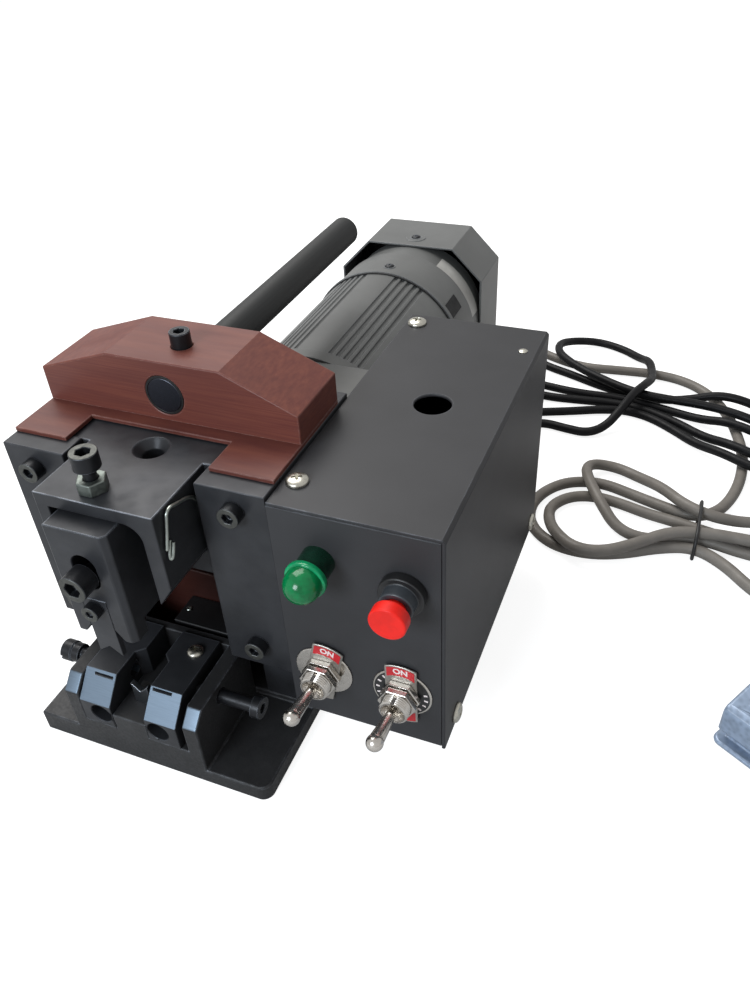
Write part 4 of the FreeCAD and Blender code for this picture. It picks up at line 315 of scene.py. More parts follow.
def black_oxide(colours):
    """Hardened socket screws in oiled black oxide: dark, smooth, bright where keys wear them."""
    return finish("screw_steel_black_oxide", colours.oxide,
                  wear=rubbing(colours.worn, 0.5, 0.7, grain(2.5, 0.35, 0.6, 0.3)),
                  gloss=grain(1.5, 0.3, 0.7, 0.3, 0.46),
                  metallic=0.45, roughness=0.36, specular_ior_level=0.4)


def plated(name, colour, roughness, dull=0.15):
    """Plated steel, zinc or chrome: bright metal with faint clouding from handling."""
    return finish(name, colour, (grain(3, 0.35, 0.75), tint(colour, 1 - dull * 2)),
                  gloss=grain(1.2, 0.3, 0.7, roughness * 0.8, roughness * 1.4),
                  metallic=1.0, roughness=roughness)


def laminated_bakelite(colours, name="bakelite_laminated_sawn", share=1.0):
    """Pressed bakelite sheet, sawn and milled: red-brown with thin lighter layers along it, satin,
    pale where its edges are chipped."""
    layers = grain(0.6, 0.35, 0.68, detail=3, stretch=(60, 8, 1), roughness=0.6)
    base = tint(colours.bakelite, share)
    return finish(name, base, (layers, tint(colours.bakelite_light, share)),
                  (grain(9, 0.42, 0.75, 0, 0.6, 3, (7, 2, 1)), tint(base, 0.84)),
                  wear=rubbing(CHIPPED_BAKELITE, 0.55, 0.7, grain(2, 0.45, 0.7, 0.2)),
                  gloss=grain(9, 0.3, 0.7, 0.36, 0.52, 3, (7, 2, 1)), relief=(layers, 0.02, 0.4),
                  roughness=0.44, specular_ior_level=0.3)


def motor_enamel(colours):
    """Stoved grey enamel over cast aluminium: even, slightly glossy, with a faint orange peel."""
    return finish("aluminium_enamelled_grey", tint(colours.motor, 0.9),
                  (grain(26, 0.35), tint(colours.motor, 1.1)),
                  wear=rubbing(colours.worn, 0.6, 0.25),
                  relief=(grain(1.6, detail=2), 0.03, 0.4), roughness=0.38)


def box_powder_coat(colours):
    """Powder coat on folded sheet steel: dark grey, fine texture, thin at the folds; the pale
    colour on its upward edges is partly that wear and partly a painted highlight.
    """
    return finish("sheet_steel_powder_coated", tint(colours.box, 0.88),
                  (grain(40, 0.35), tint(colours.box, 1.12)),
                  wear=rubbing(colours.worn, 0.6, 1.0, grain(6, 0.4, 0.65, 0.1, 0.5), (0.2, 0.5)),
                  relief=(grain(0.9, detail=2), 0.03, 0.35), roughness=0.47,
                  specular_ior_level=0.28)


def coated_rod(colours):
    """Rod with a thin black rubbery coat: even satin, with slight drawing marks along it."""
    marks = grain(0.7, detail=3, stretch=(1, 30, 1))
    return finish("steel_rod_black_coated", tint(colours.rod, 0.85),
                  (marks, tint(colours.rod, 1.2)), relief=(marks, 0.015, 0.4),
                  roughness=0.5, specular_ior_level=0.3)


def moulded_plastic(name, colour, roughness, **values):
    """Injection-moulded plastic, or thick print: even colour with a faint spark-eroded grain."""
    return finish(name, tint(colour, 0.9), (grain(6, 0.35), tint(colour, 1.08)),
                  relief=(grain(0.8, detail=2), 0.015, 0.3), roughness=roughness, **values)


def green_lens(name, colour, clear):
    """Green acrylic, moulded: light goes some way into it. The ridge's copy is painted lighter,
    as a highlight, and the barrel's darker, as shade.
    """
    return finish(name, tint(colour, 0.75), (grain(4, 0.35, 0.65, detail=2), tint(colour, 1.2)),
                  roughness=0.14, transmission_weight=clear, ior=1.49, specular_ior_level=0.35)


def cord_jacket(name, colour, roughness, sheen):
    """Extruded PVC jacket: satin, with faint flats and dust from handling."""
    dusty = [c * 1.25 + 0.006 for c in colour]
    return finish(name, colour, (grain(9, 0.45, 0.8, detail=5), dusty),
                  gloss=grain(3, 0.3, 0.7, roughness * 0.85, roughness * 1.25),
                  relief=(grain(2.2, detail=2), 0.05, 0.3),
                  roughness=roughness, specular_ior_level=sheen)


def hammered_enamel(colours):
    """Hammer-finish enamel on a casting: blue-grey, small soft dimples, its edges worn pale."""
    dimples = grain(2.2, 0.1, 0.6, cells=True)
    return finish("casting_hammered_enamel", tint(colours.pedal, 0.82),
                  (dimples, tint(colours.pedal, 1.15)),
                  wear=rubbing(RUBBED_ENAMEL, 1.2, 0.55, turns=(0.003, 0.05)),
                  relief=(dimples, 0.12, 0.35), roughness=0.33, metallic=0.25)


def bare_metal(name, colour, roughness, way=(1, 1, 1)):
    """Plain machined metal that hardly shows: turned or stamped, with fine marks along one way."""
    marks = grain(0.5, detail=3, stretch=way)
    return finish(name, tint(colour, 0.85), (marks, tint(colour, 1.1)), relief=(marks, 0.01, 0.3),
                  metallic=1.0, roughness=roughness)


FINISHES = {}


def make_finishes(colours):
    """All the finishes, under short words that the pieces use."""
    FINISHES.update({
        "black": blackened_steel(colours),
        # A lighter copy with full rubbed edges: wear, and painted light on the slider and holder.
        "black_worn": blackened_steel(colours, "blackened_steel_handled", 1.0, 1.15),
        "rim": plated("screw_steel_worn_face", linear("#5f605d"), 0.45),
        "nut": plated("steel_zinc_dulled", linear("#7d847f"), 0.42),
        "casting": cast_base(colours),
        "bevel": ground_bevel(colours),
        # Bare ground steel, with a painted reflection in its blue tint.
        "oxide": black_oxide(colours),
        "zinc": plated("steel_zinc_plated", colours.zinc, 0.32),
        "chrome": plated("steel_chrome_plated", colours.chrome, 0.22, 0.08),
        "tin": plated("steel_nickel_plated_dull", tint(colours.chrome, 0.8), 0.36),
        "bakelite": laminated_bakelite(colours),
        "bakelite_red": laminated_bakelite(colours, "bakelite_red_sheet", 0.84),
        # The insulator's bakelite, darkened to 0.3 as painted shade inside the head's cavity.
        "bakelite_dark": laminated_bakelite(colours, "bakelite_dark_sheet", 0.3),
        "motor": motor_enamel(colours),
        "box": box_powder_coat(colours),
        "rod": coated_rod(colours),
        # Bare cut end, its blue-grey partly a painted reflection.
        "rod_end": bare_metal("steel_rod_sawn_end", colours.rod_end, 0.4),
        "plastic": moulded_plastic("nylon_black_moulded", linear("#1a1a1b"), 0.42),
        "barrel": moulded_plastic("nylon_dark_grey_moulded", linear("#3a3f44"), 0.38),
        "red": moulded_plastic("abs_red_moulded", colours.red, 0.42, specular_ior_level=0.3),
        "lens": green_lens("acrylic_green_dome", colours.lens, 0.12),
        "lens_rim": green_lens("acrylic_green_ridge", colours.lens_rim, 0.15),
        "lens_barrel": green_lens("acrylic_green_barrel", colours.lens_barrel, 0.1),
        "pan": plated("steel_zinc_passivated", linear("#c6c3b8"), 0.28, 0.1),
        "silver": plated("aluminium_tag_satin", linear("#b5b1ab"), 0.4, 0.06),
        "tag": moulded_plastic("aluminium_red_printed", colours.tag, 0.35),
        "tag_black": moulded_plastic("aluminium_black_printed", linear("#19191a"), 0.4),
        "letters": moulded_plastic("print_white", linear("#f2e6e4"), 0.5),
        "label": moulded_plastic("foil_label_blank", linear("#bdbcb8"), 0.35),
        "mains": cord_jacket("pvc_black_extruded", colours.mains, 0.4, 0.16),
        "grey": cord_jacket("pvc_grey_extruded", colours.grey_jacket, 0.42, 0.35),
        "pedal": hammered_enamel(colours),
        "brass": bare_metal("brass_turned", linear("#b08d4a"), 0.3, (1, 12, 1)),
        "iron": bare_metal("iron_core_stamped", linear("#5c5d60"), 0.5, (20, 1, 20)),
        "bearing": bare_metal("bearing_steel_ground", linear("#a8abb0"), 0.22),
        "steel": bare_metal("shaft_steel_turned", linear("#8c9096"), 0.3),
    })


# The finish of each material slot's pieces, and of pieces whose solid hardly shows.
SLOT_FINISH = {
    "cast_iron": "casting", "ground_steel": "steel", "blackened_steel": "black",
    "zinc_plate": "zinc", "bakelite": "bakelite", "brass": "brass", "motor_paint": "motor",
    "motor_iron": "iron", "bearing_steel": "bearing", "black_plastic": "plastic",
    "box_paint": "box", "green_lens": "lens", "red_plastic": "red", "printed_aluminium": "tag",
    "black_rubber": "mains", "grey_rubber": "grey", "pedal_paint": "pedal",
}
SLOT_OF = {part["node"]: part["material_slot"] for part in frame["record"]["subparts"]}
NODE_FINISH = {"cord_tie": "plastic", "toggle_bodies": "plastic"}
# How near corners are joined, in metres; the turns in degrees under which faces are one, over
# which an edge is rounded, and over which it looks sharp; and the depth of a screw's worn face.
WELD = 0.002 * MM
FLAT, SHARP, CREASE = 0.4, 32, 35
FACE_DEPTH = 0.3 * MM
# How much of a face's normal points forward and up on a bevel, and forward on the rod's end.
LEANING, FACING = 0.3, 0.9
# The rounding of each solid's edges, in millimetres or as a size's name, its finish, and the steps
# across an edge where they aren't the usual ones.
DRESS = {
    "left_jaw_clamp_screw": ("screw_edge", "oxide"), "right_jaw_screw": ("screw_edge", "oxide"),
    "lower_blade": (0.15, "steel", 1),
    "head_housing": ("plate_edge", "black"), "left_gib_plate": ("plate_edge", "black"),
    "right_gib_plate": ("plate_edge", "black"),
    # The slider and holder take the lighter copy of the blackened steel, which is painted light.
    "slider": ("plate_edge", "black_worn"), "blade_holder": ("plate_edge", "black_worn"),
    "upper_blade": (0.15, "black_worn", 1), "adjuster_lock_nut": ("plate_edge", "nut"),
    "presser_sleeve": ("screw_edge", "black", 1), "presser_pin": ("screw_edge", "black", 1),
    "bridge_block": ("bakelite_edge", "bakelite"), "bridge_plate": (0.3, "bakelite_red"),
    "rod_bush": (0.1, "plastic", 1), "rod_set_screw": ("screw_edge", "oxide", 2),
    # The insulator plate takes the bakelite darkened as painted shade.
    "micro_switch": (0.4, "plastic", 2), "insulator_plate": (0.3, "bakelite_dark", 1),
    "gearbox_case": (0.6, "motor", 2), "motor_tube": (0.15, "motor", 1),
    "end_bell": (0.4, "motor", 2), "fan_hood": (0.3, "motor", 2),
    "box_chassis": (0.3, "box"), "box_cover": ("sheet_edge", "box"),
    "cord_glands": (0.4, "plastic"),
    "stop_button": (0.7, "red", 4),
    "left_toggle_lever": (0.1, "chrome", 1), "right_toggle_lever": (0.1, "chrome", 1),
    "toggle_nuts": (0.35, "chrome"), "toggle_tags": (0.15, "silver", 1),
    "pedal_case": (1.2, "pedal", 3), "pedal_treadle": (1.6, "pedal", 3),
}
# Rounding of the edges of the pieces in two finishes, in millimetres.
JAW_EDGE, ROD_EDGE, BUTTON_EDGE, PLUG_EDGE = 0.22, 0.3, 0.4, 0.5


def carry(name, data, node):
    """Makes an object that rides with a node's body."""
    piece = bpy.data.objects.new(name, data)
    bpy.context.collection.objects.link(piece)
    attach(piece, frame["nodes"][node]["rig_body"])
    return piece


def keep(name, bm, finishes, node, stands_for=(), angle=CREASE):
    """Makes a piece of the mesh, sharp where its faces turn by more than the angle."""
    mesh = bpy.data.meshes.new(name)
    bm.normal_update()
    bm.to_mesh(mesh)
    bm.free()
    for finish in [finishes] if isinstance(finishes, str) else finishes:
        mesh.materials.append(FINISHES[finish])
    mesh.shade_smooth()
    mesh.set_sharp_from_angle(angle=math.radians(angle))
    piece = carry(name, mesh, node)
    if stands_for:
        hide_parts(*stands_for)
    return piece


def wire(name, points, width, finish, node, rounds=5, steps=6, closed=False):
    """A smooth round wire or cord with these points, in metres, as its spline's control points."""
    curve = bpy.data.curves.new(name, "CURVE")
    curve.dimensions = "3D"
    curve.bevel_depth = width / 2 * MM
    curve.bevel_resolution = rounds
    curve.resolution_u = steps
    curve.use_fill_caps = not closed
    spline = curve.splines.new("NURBS")
    spline.points.add(len(points) - 1)
    for point, place in zip(spline.points, points):
        point.co = (*place, 1)
    spline.order_u = 3
    spline.use_endpoint_u = not closed
    spline.use_cyclic_u = closed
    curve.materials.append(FINISHES[finish])
    return carry(name, curve, node)


def welded(node):
    """A solid's mesh, with the corners of its faces joined."""
    bm = bmesh.new()
    bm.from_mesh(frame["nodes"][node].data)
    bmesh.ops.remove_doubles(bm, verts=bm.verts, dist=WELD)
    return bm


def finished(node, finish, second=None, test=None):
    """A copy of a solid in its finish; faces that the test picks get a second one."""
    bm = welded(node)
    bmesh.ops.dissolve_limit(bm, angle_limit=math.radians(FLAT), verts=bm.verts, edges=bm.edges)
    bm.normal_update()
    for face in bm.faces:
        face.material_index = 1 if test and test(face) else 0
    finishes = [finish, second] if second else finish
    return keep(node + "_finished", bm, finishes, node, [node])


def edged(node, width, finish, steps, second=None, test=None):
    """A finished copy of a solid with its sharp edges rounded."""
    piece = finished(node, finish, second, test)
    rounding = piece.modifiers.new("Rounded edges", "BEVEL")
    rounding.width = width
    rounding.segments = steps
    rounding.limit_method = "ANGLE"
    rounding.angle_limit = math.radians(SHARP)
    rounding.use_clamp_overlap = False
    even = piece.modifiers.new("Even shading", "WEIGHTED_NORMAL")
    even.keep_sharp = True
    return piece


def dress(*nodes):
    """Rounds the edges of solids and gives them their finishes, as DRESS says."""
    sizes = bpy.context.scene.stripper_sizes
    for node in nodes:
        width, finish, *steps = DRESS[node]
        width = getattr(sizes, width) if isinstance(width, str) else width * MM
        edged(node, width, finish, *steps or [sizes.edge_steps])


def worn_face(node, axis, side):
    """Socket screws with their outer face, lowest or highest along an axis, worn grey by keys."""
    sizes = bpy.context.scene.stripper_sizes
    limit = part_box(node)[side][axis]
    edged(node, sizes.screw_edge, "oxide", sizes.edge_steps, "rim",
          lambda face: abs(face.calc_center_median()[axis] - limit) < FACE_DEPTH)


def spring(node, joint, axis):
    """A coil spring copied from its solid; it reads its length along an axis and the joint's
    travel, but nothing shortens it.
    """
    piece = keep(node + "_coil", welded(node), SLOT_FINISH[SLOT_OF[node]], node, [node])
    low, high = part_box(node)
    rest = high[axis] - low[axis]
    travel = next(row for row in frame["record"]["behaviour"]["joints"]
                  if row["name"] == joint)["range_m"][1]
    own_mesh(piece)


def turned(bm, profile, seat, way, steps=48, finish=0, hollow=False):
    """Turns a profile of (millimetres along, radius) points about a line from the seat. A hollow
    profile goes up the outside and down the inside."""
    lean = UP.rotation_difference(Vector(way)).to_matrix()
    rings = []
    for along, radius in profile:
        count = steps if radius > 0 else 1
        rings.append([bm.verts.new(seat + lean @ Vector((
            radius * math.cos(2 * math.pi * i / steps), radius * math.sin(2 * math.pi * i / steps),
            along)) * MM) for i in range(count)])
    for low, high in zip(rings, rings[1:] + rings[:1] if hollow else rings[1:]):
        for i in range(steps):
            j = (i + 1) % steps
            corners = [low[i % len(low)], low[j % len(low)],
                       high[j % len(high)], high[i % len(high)]]
            ring = [v for k, v in enumerate(corners) if v not in corners[:k]]
            if len(ring) > 2:
                bm.faces.new(ring).material_index = finish
    for ring, turn in ((rings[0], -1), (rings[-1], 1)):
        if len(ring) > 1 and not hollow:
            bm.faces.new(ring[::turn]).material_index = finish


def slab(bm, low, high, under=False):
    """The top and sides between two rings of places, in metres, and the underside if asked."""
    low, high = [[bm.verts.new(place) for place in ring] for ring in (low, high)]
    bm.faces.new(high)
    if under:
        bm.faces.new(low[::-1])
    for i in range(len(low)):
        j = (i + 1) % len(low)
        bm.faces.new((low[i], low[j], high[j], high[i]))
    bmesh.ops.recalc_face_normals(bm, faces=bm.faces)


def brick(bm, low, high):
    """A block between two corners, in metres."""
    around = ((low.x, low.y), (high.x, low.y), (high.x, high.y), (low.x, high.y))
    slab(bm, *([Vector((x, y, z)) for x, y in around] for z in (low.z, high.z)), under=True)


def carve(piece, cutter):
    """Cuts the cutter's solids out of the piece."""
    mesh = bpy.data.meshes.new("cutter")
    cutter.to_mesh(mesh)
    cutter.free()
    tool = bpy.data.objects.new("cutter", mesh)
    bpy.context.collection.objects.link(tool)
    cut = piece.modifiers.new("Cut", "BOOLEAN")
    cut.operation = "DIFFERENCE"
    cut.solver = "EXACT"
    cut.object = tool
    done = bpy.data.meshes.new_from_object(
        piece.evaluated_get(bpy.context.evaluated_depsgraph_get()))
    piece.modifiers.remove(cut)
    old = piece.data
    piece.data = done
    done.name = piece.name
    done.set_sharp_from_angle(angle=math.radians(CREASE))
    bpy.data.meshes.remove(old)
    bpy.data.objects.remove(tool)


def solids(node):
    """The boxes of a node's separate solids, each as its lowest and highest corner."""
    bm = welded(node)
    left = set(bm.verts)
    found = []
    while left:
        batch = [left.pop()]
        places = []
        while batch:
            vert = batch.pop()
            places.append(vert.co.copy())
            near = {edge.other_vert(vert) for edge in vert.link_edges} & left
            left -= near
            batch.extend(near)
        found.append([Vector([pick(p[i] for p in places) for i in range(3)])
                      for pick in (min, max)])
    bm.free()
    return sorted(found, key=lambda box: tuple(box[0]))


# A cross recess's reach and half width as shares of its head's width, and a shank's radius as one.
RECESS_REACH, RECESS_WIDTH, SHANK_SHARE = 0.29, 0.07, 0.22


def cross(bm, seat, way, reach, width, depth, turn):
    """A cross-shaped bit, narrower at its tip, that cuts a screw's recess."""
    lean = UP.rotation_difference(Vector(way)).to_matrix()
    rings = []
    for height, share in ((-depth, 0.55), (1.0, 1.0)):
        r, w = reach * share, width * share
        corners = ((r, -w), (r, w), (w, w), (w, r), (-w, r), (-w, w),
                   (-r, w), (-r, -w), (-w, -w), (-w, -r), (w, -r), (w, -w))
        rings.append([seat + lean @ Vector((
            x * math.cos(turn) - y * math.sin(turn), x * math.sin(turn) + y * math.cos(turn),
            height)) * MM for x, y in corners])
    slab(bm, *rings, under=True)


def pan_profile(wide, tall, shank=6.0):
    """A domed screw head on its shank, from the shank's tip."""
    reach = wide / 2
    arc = [math.radians(15 * k) for k in range(1, 6)]
    return ([(-shank, wide * SHANK_SHARE), (0, wide * SHANK_SHARE), (0, reach - 0.15),
             (0.2, reach), (tall * 0.3, reach)] +
            [(tall * (0.3 + 0.7 * math.sin(t)), reach * math.cos(t)) for t in arc] + [(tall, 0)])


def pan_screws(name, node, ways, wide, tall, finish):
    """Domed screws with a cross recess in place of a node's screws."""
    bm, bits = bmesh.new(), bmesh.new()
    for number, ((low, high), way) in enumerate(zip(solids(node), ways)):
        way = Vector(way)
        top = (low + high) / 2
        top += way * ((high - top).dot(way))
        turned(bm, pan_profile(wide, tall), top - way * tall * MM, way, 40)
        cross(bits, top, way, wide * RECESS_REACH, wide * RECESS_WIDTH, tall * 0.7, 0.5 + number)
    carve(keep(name, bm, finish, node, [node]), bits)


# The narrow slot milled across each jaw's bevel: how far below the jaw's top, and its half width,
# distance behind the front, depth and height, in millimetres.
SLOT_DROPS = {"left_jaw": 1.0, "right_jaw": 0.4}
SLOT_REACH, SLOT_FRONT, SLOT_DEPTH, SLOT_HEIGHT = 4.5, 8.5, 2.1, 0.95
# The domed heads' width and height on the jaw's plate and on the cover.
JAW_HEAD, COVER_HEAD = (7.0, 2.4), (8.5, 2.4)


class STRIPPER_OT_base(bpy.types.Operator):
    """Base casting with the jaw block, the jaws and their screws"""
    bl_idname = "stripper.base"
    bl_label = "Base and jaws"

    def execute(self, context):
        sizes = context.scene.stripper_sizes

        def sloping(face):
            return face.normal.y < -LEANING and face.normal.z > LEANING

        edged("base_casting", sizes.casting_edge, "casting", sizes.edge_steps, "bevel", sloping)
        for node, drop in SLOT_DROPS.items():
            jaw = edged(node, JAW_EDGE * MM, "black", sizes.edge_steps, "bevel", sloping)
            low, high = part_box(node)
            middle = (low.x + high.x) / 2
            front = low.y + (SLOT_FRONT - drop) * MM
            slot = bmesh.new()
            top = high.z - drop * MM
            brick(slot, Vector((middle - SLOT_REACH * MM, front, top - SLOT_HEIGHT * MM)),
                  Vector((middle + SLOT_REACH * MM, front + SLOT_DEPTH * MM, top)))
            carve(jaw, slot)
        pan_screws("jaw_plate_screw_domed", "jaw_plate_screw", [UP], *JAW_HEAD, "pan")
        dress("left_jaw_clamp_screw", "right_jaw_screw", "lower_blade")
        return {"FINISHED"}


class STRIPPER_OT_head(bpy.types.Operator):
    """Housing, gib plates and the frame's socket screws"""
    bl_idname = "stripper.head"
    bl_label = "Head frame"

    def execute(self, context):
        dress("head_housing", "left_gib_plate", "right_gib_plate")
        worn_face("frame_screws", 1, 0)
        return {"FINISHED"}


class STRIPPER_OT_slider(bpy.types.Operator):
    """Blade head with the holder, blade, presser and their screws"""
    bl_idname = "stripper.slider"
    bl_label = "Blade head"

    def execute(self, context):
        dress("slider", "blade_holder")
        worn_face("holder_clamp_screw", 1, 0)
        worn_face("blade_screw", 1, 0)
        worn_face("adjusting_screw", 2, 1)
        dress("upper_blade", "adjuster_lock_nut", "presser_sleeve", "presser_pin")
        spring("presser_spring", "presser_slide", 2)
        return {"FINISHED"}


class STRIPPER_OT_bridge(bpy.types.Operator):
    """Bakelite bridge with the guide rod, its bush and set screw"""
    bl_idname = "stripper.bridge"
    bl_label = "Bridge and rod"

    def execute(self, context):
        dress("bridge_block", "bridge_plate")
        edged("guide_rod", ROD_EDGE * MM, "rod", 2, "rod_end",
              lambda face: face.normal.y < -FACING)
        dress("rod_bush", "rod_set_screw")
        return {"FINISHED"}


# The hook at the feeler's free end, in millimetres from the wire's lowest front left corner.
FEELER_WIDTH = 1.3
FEELER_HOOK = [(0.7, 3.4, 6.2), (0.7, 1.2, 1.2), (0.9, 0.9, -0.6), (1.6, 1.4, -0.4),
               (2.0, 2.2, 2.2), (2.0, 3.4, 5.6)]
# The hollow rivets at the micro switch's ends: shares of its width, their depth and profile.
RIVET_SHARES = (0.107, 0.893)
RIVET_DEPTH = 2.0
RIVET = [(0, 1.35), (2.2, 1.35), (2.5, 1.1), (2.5, 0.6), (1.9, 0.6), (1.9, 0)]


class STRIPPER_OT_cavity(bpy.types.Operator):
    """Micro switch with its rivets, insulator and feeler wire inside the head"""
    bl_idname = "stripper.cavity"
    bl_label = "Switch and feeler"

    def execute(self, context):
        dress("micro_switch", "insulator_plate")
        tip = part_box("feeler_wire")[0]
        wire("feeler_hook", [tip + Vector(step) * MM for step in FEELER_HOOK], FEELER_WIDTH,
             "zinc", "feeler_wire", 4)
        low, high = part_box("micro_switch")
        bm = bmesh.new()
        for share in RIVET_SHARES:
            seat = Vector((low.x + share * (high.x - low.x), (low.y + high.y) / 2,
                           high.z - RIVET_DEPTH * MM))
            turned(bm, RIVET, seat, UP, 24)
        keep("micro_switch_rivets", bm, "zinc", "micro_switch")
        return {"FINISHED"}


# The screws' places behind the hood's and bell's fronts and their heads' widths, in millimetres;
# their heads' height, shank and sunk depth; the hood's boss, and the seat round each head as
# heights and steps out from it.
HOOD_SCREW_PLACE, HOOD_SCREW_WIDTH = 11.7, 5.6
BELL_SCREW_PLACE, BELL_SCREW_WIDTH = 11.7, 5.4
HEAD_HEIGHT, HEAD_SHANK, HEAD_SUNK = 1.3, 1.0, 0.1
BOSS_LIFT = 0.3
BOSS = [(-0.5, 6.2), (0.15, 6.2), (0.4, 5.9), (0.4, 0)]
SCREW_SEAT = [(-0.4, 1.0), (0.25, 0.8), (0.25, 0.2), (-0.4, 0.2)]
# The blank rating plate, and a dark strip painted as the shade of a notch in the bell: the radius,
# the height, two places along the bell and two turns in degrees up from the right.
RATING_PLATE = (44.5, 0.15, (32.0, 46.0), (11.0, 62.0))
LEAD_ENTRY = (46.3, 0.3, (0.7, 21.0), (28.0, 39.0))
STRIP_STEPS = 24
# The dark joint before the bell and the bell's proud rim, as profiles from the bell's front.
BELL_JOINT = [(-0.5, 46.95), (0.7, 46.95), (0.7, 46.0), (-0.5, 46.0)]
BELL_RIM = [(0.6, 47.1), (0.9, 47.4), (3.4, 47.4), (4.6, 46.4), (4.6, 46.0), (0.6, 46.0)]
# The black sheet's gap to the hood's sides, its corners' cut, and its faces before the hood's
# back;
# the sheet is painted shade that keeps the hood's slots dark.
GAUZE_GAP, GAUZE_BEVEL, GAUZE_FACES = 1.5, 17.8, (1.5, 1.9)


class STRIPPER_OT_motor(bpy.types.Operator):
    """Gearbox, ribbed motor tube, end bell and fan hood"""
    bl_idname = "stripper.motor"
    bl_label = "Motor"

    def execute(self, context):
        dress("gearbox_case", "motor_tube", "end_bell", "fan_hood")
        self.screws()
        self.joint()
        self.strip("motor_rating_plate_blank", "label", *RATING_PLATE)
        # A dark strip on the bell: painted shade of a notch.
        self.strip("motor_lead_entry", "mains", *LEAD_ENTRY)
        self.gauze()
        return {"FINISHED"}

    def screws(self):
        """A cross screw on the hood's boss, and one sunk in the bell."""
        hood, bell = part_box("fan_hood"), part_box("end_bell")
        middle = (bell[0].x + bell[1].x) / 2
        boss, heads, bits = bmesh.new(), bmesh.new(), bmesh.new()
        seat = Vector((middle, hood[0].y + HOOD_SCREW_PLACE * MM, hood[1].z))
        turned(boss, BOSS, seat, UP)
        raised = seat + UP * BOSS_LIFT * MM
        sunk = Vector((middle, bell[0].y + BELL_SCREW_PLACE * MM, bell[1].z))
        for top, wide in ((raised, HOOD_SCREW_WIDTH), (sunk, BELL_SCREW_WIDTH)):
            turned(boss, [(up, wide / 2 + out) for up, out in SCREW_SEAT], top, UP, hollow=True)
            head = pan_profile(wide, HEAD_HEIGHT, HEAD_SHANK)
            turned(heads, head, top - UP * HEAD_SUNK * MM, UP, 32)
            cross(bits, top + UP * (HEAD_HEIGHT - HEAD_SUNK) * MM, UP, wide * 0.3,
                  wide * RECESS_WIDTH, HEAD_SHANK, 0.6)
        keep("motor_screw_bosses", boss, "motor", "fan_hood")
        carve(keep("motor_screws", heads, "oxide", "fan_hood"), bits)

    def joint(self):
        """The bell's rim, a little proud, with a dark joint between it and the tube."""
        low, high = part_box("end_bell")
        seat = Vector(((low.x + high.x) / 2, low.y, (low.z + high.z) / 2))
        for name, profile, finish, angle in (("bell_joint", BELL_JOINT, "plastic", CREASE),
                                             ("bell_rim", BELL_RIM, "motor", 20)):
            bm = bmesh.new()
            turned(bm, profile, seat, (0, 1, 0), 96, hollow=True)
            keep(name, bm, finish, "end_bell", angle=angle)

    def strip(self, name, finish, radius, proud, places, turns):
        """A thin strip wrapped round the bell."""
        low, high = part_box("end_bell")
        middle = (low + high) / 2
        bm = bmesh.new()
        rings = []
        for k in range(STRIP_STEPS + 1):
            turn = math.radians(turns[0] + (turns[1] - turns[0]) * k / STRIP_STEPS)
            rings.append([bm.verts.new(Vector((
                middle.x + (radius + up) * MM * math.cos(turn), low.y + along * MM,
                middle.z + (radius + up) * MM * math.sin(turn))))
                for along, up in ((places[0], -0.1), (places[0], proud), (places[1], proud),
                                  (places[1], -0.1))])
        for first, second in zip(rings, rings[1:]):
            for i in range(4):
                j = (i + 1) % 4
                bm.faces.new((first[i], first[j], second[j], second[i]))
        bm.faces.new(rings[0][::-1])
        bm.faces.new(rings[-1])
        bmesh.ops.recalc_face_normals(bm, faces=bm.faces)
        keep(name, bm, finish, "end_bell")

    def gauze(self):
        """A plain black sheet inside the hood, in front of its slots: painted shade that keeps the
        slots dark.
        """
        low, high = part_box("fan_hood")
        middle = (low + high) / 2
        reach = (high.x - low.x) / 2 - GAUZE_GAP * MM
        short = reach - GAUZE_BEVEL * MM
        corners = [(reach, -short), (reach, short), (short, reach), (-short, reach),
                   (-reach, short), (-reach, -short), (-short, -reach), (short, -reach)]
        bm = bmesh.new()
        slab(bm, *([Vector((middle.x + x, high.y - depth * MM, middle.z + z)) for x, z in corners]
                   for depth in GAUZE_FACES), under=True)
        keep("hood_dust_gauze", bm, "plastic", "fan_hood")


# The bright pin in the cover's small hole, from the base's front left corner, and its profile.
COVER_PIN = (169.75, 160.0, 133.0)
PIN_PROFILE = [(-1.2, 1.6), (0.02, 1.6), (0.02, 1.95), (0.25, 1.9), (0.6, 1.3), (0.75, 0)]


class STRIPPER_OT_box(bpy.types.Operator):
    """Control box: chassis, cords' glands, cover and the cover's screws and pin"""
    bl_idname = "stripper.box"
    bl_label = "Control box"

    def execute(self, context):
        dress("box_chassis", "cord_glands", "box_cover")
        pan_screws("cover_screws_domed", "cover_screws", [UP] * 2 + [(1, 0, 0)] * 2, *COVER_HEAD,
                   "pan")
        pin = bmesh.new()
        turned(pin, PIN_PROFILE, at(*COVER_PIN), UP, 24)
        keep("cover_pin_domed", pin, "pan", "cover_screws")
        return {"FINISHED"}


# The lamp's profiles from the panel: its barrel, the ridge round it, and the dome's foot, start,
# radius and height.
LAMP_BARREL = [(0, 6.4), (9.2, 6.3)]
LAMP_RIDGE = [(9.0, 6.6), (9.0, 7.45), (9.25, 7.7), (10.9, 7.7), (11.25, 7.55), (11.4, 7.2)]
DOME_FOOT, DOME_START, DOME_RADIUS, DOME_HEIGHT = 11.0, 13.0, 6.75, 7.0


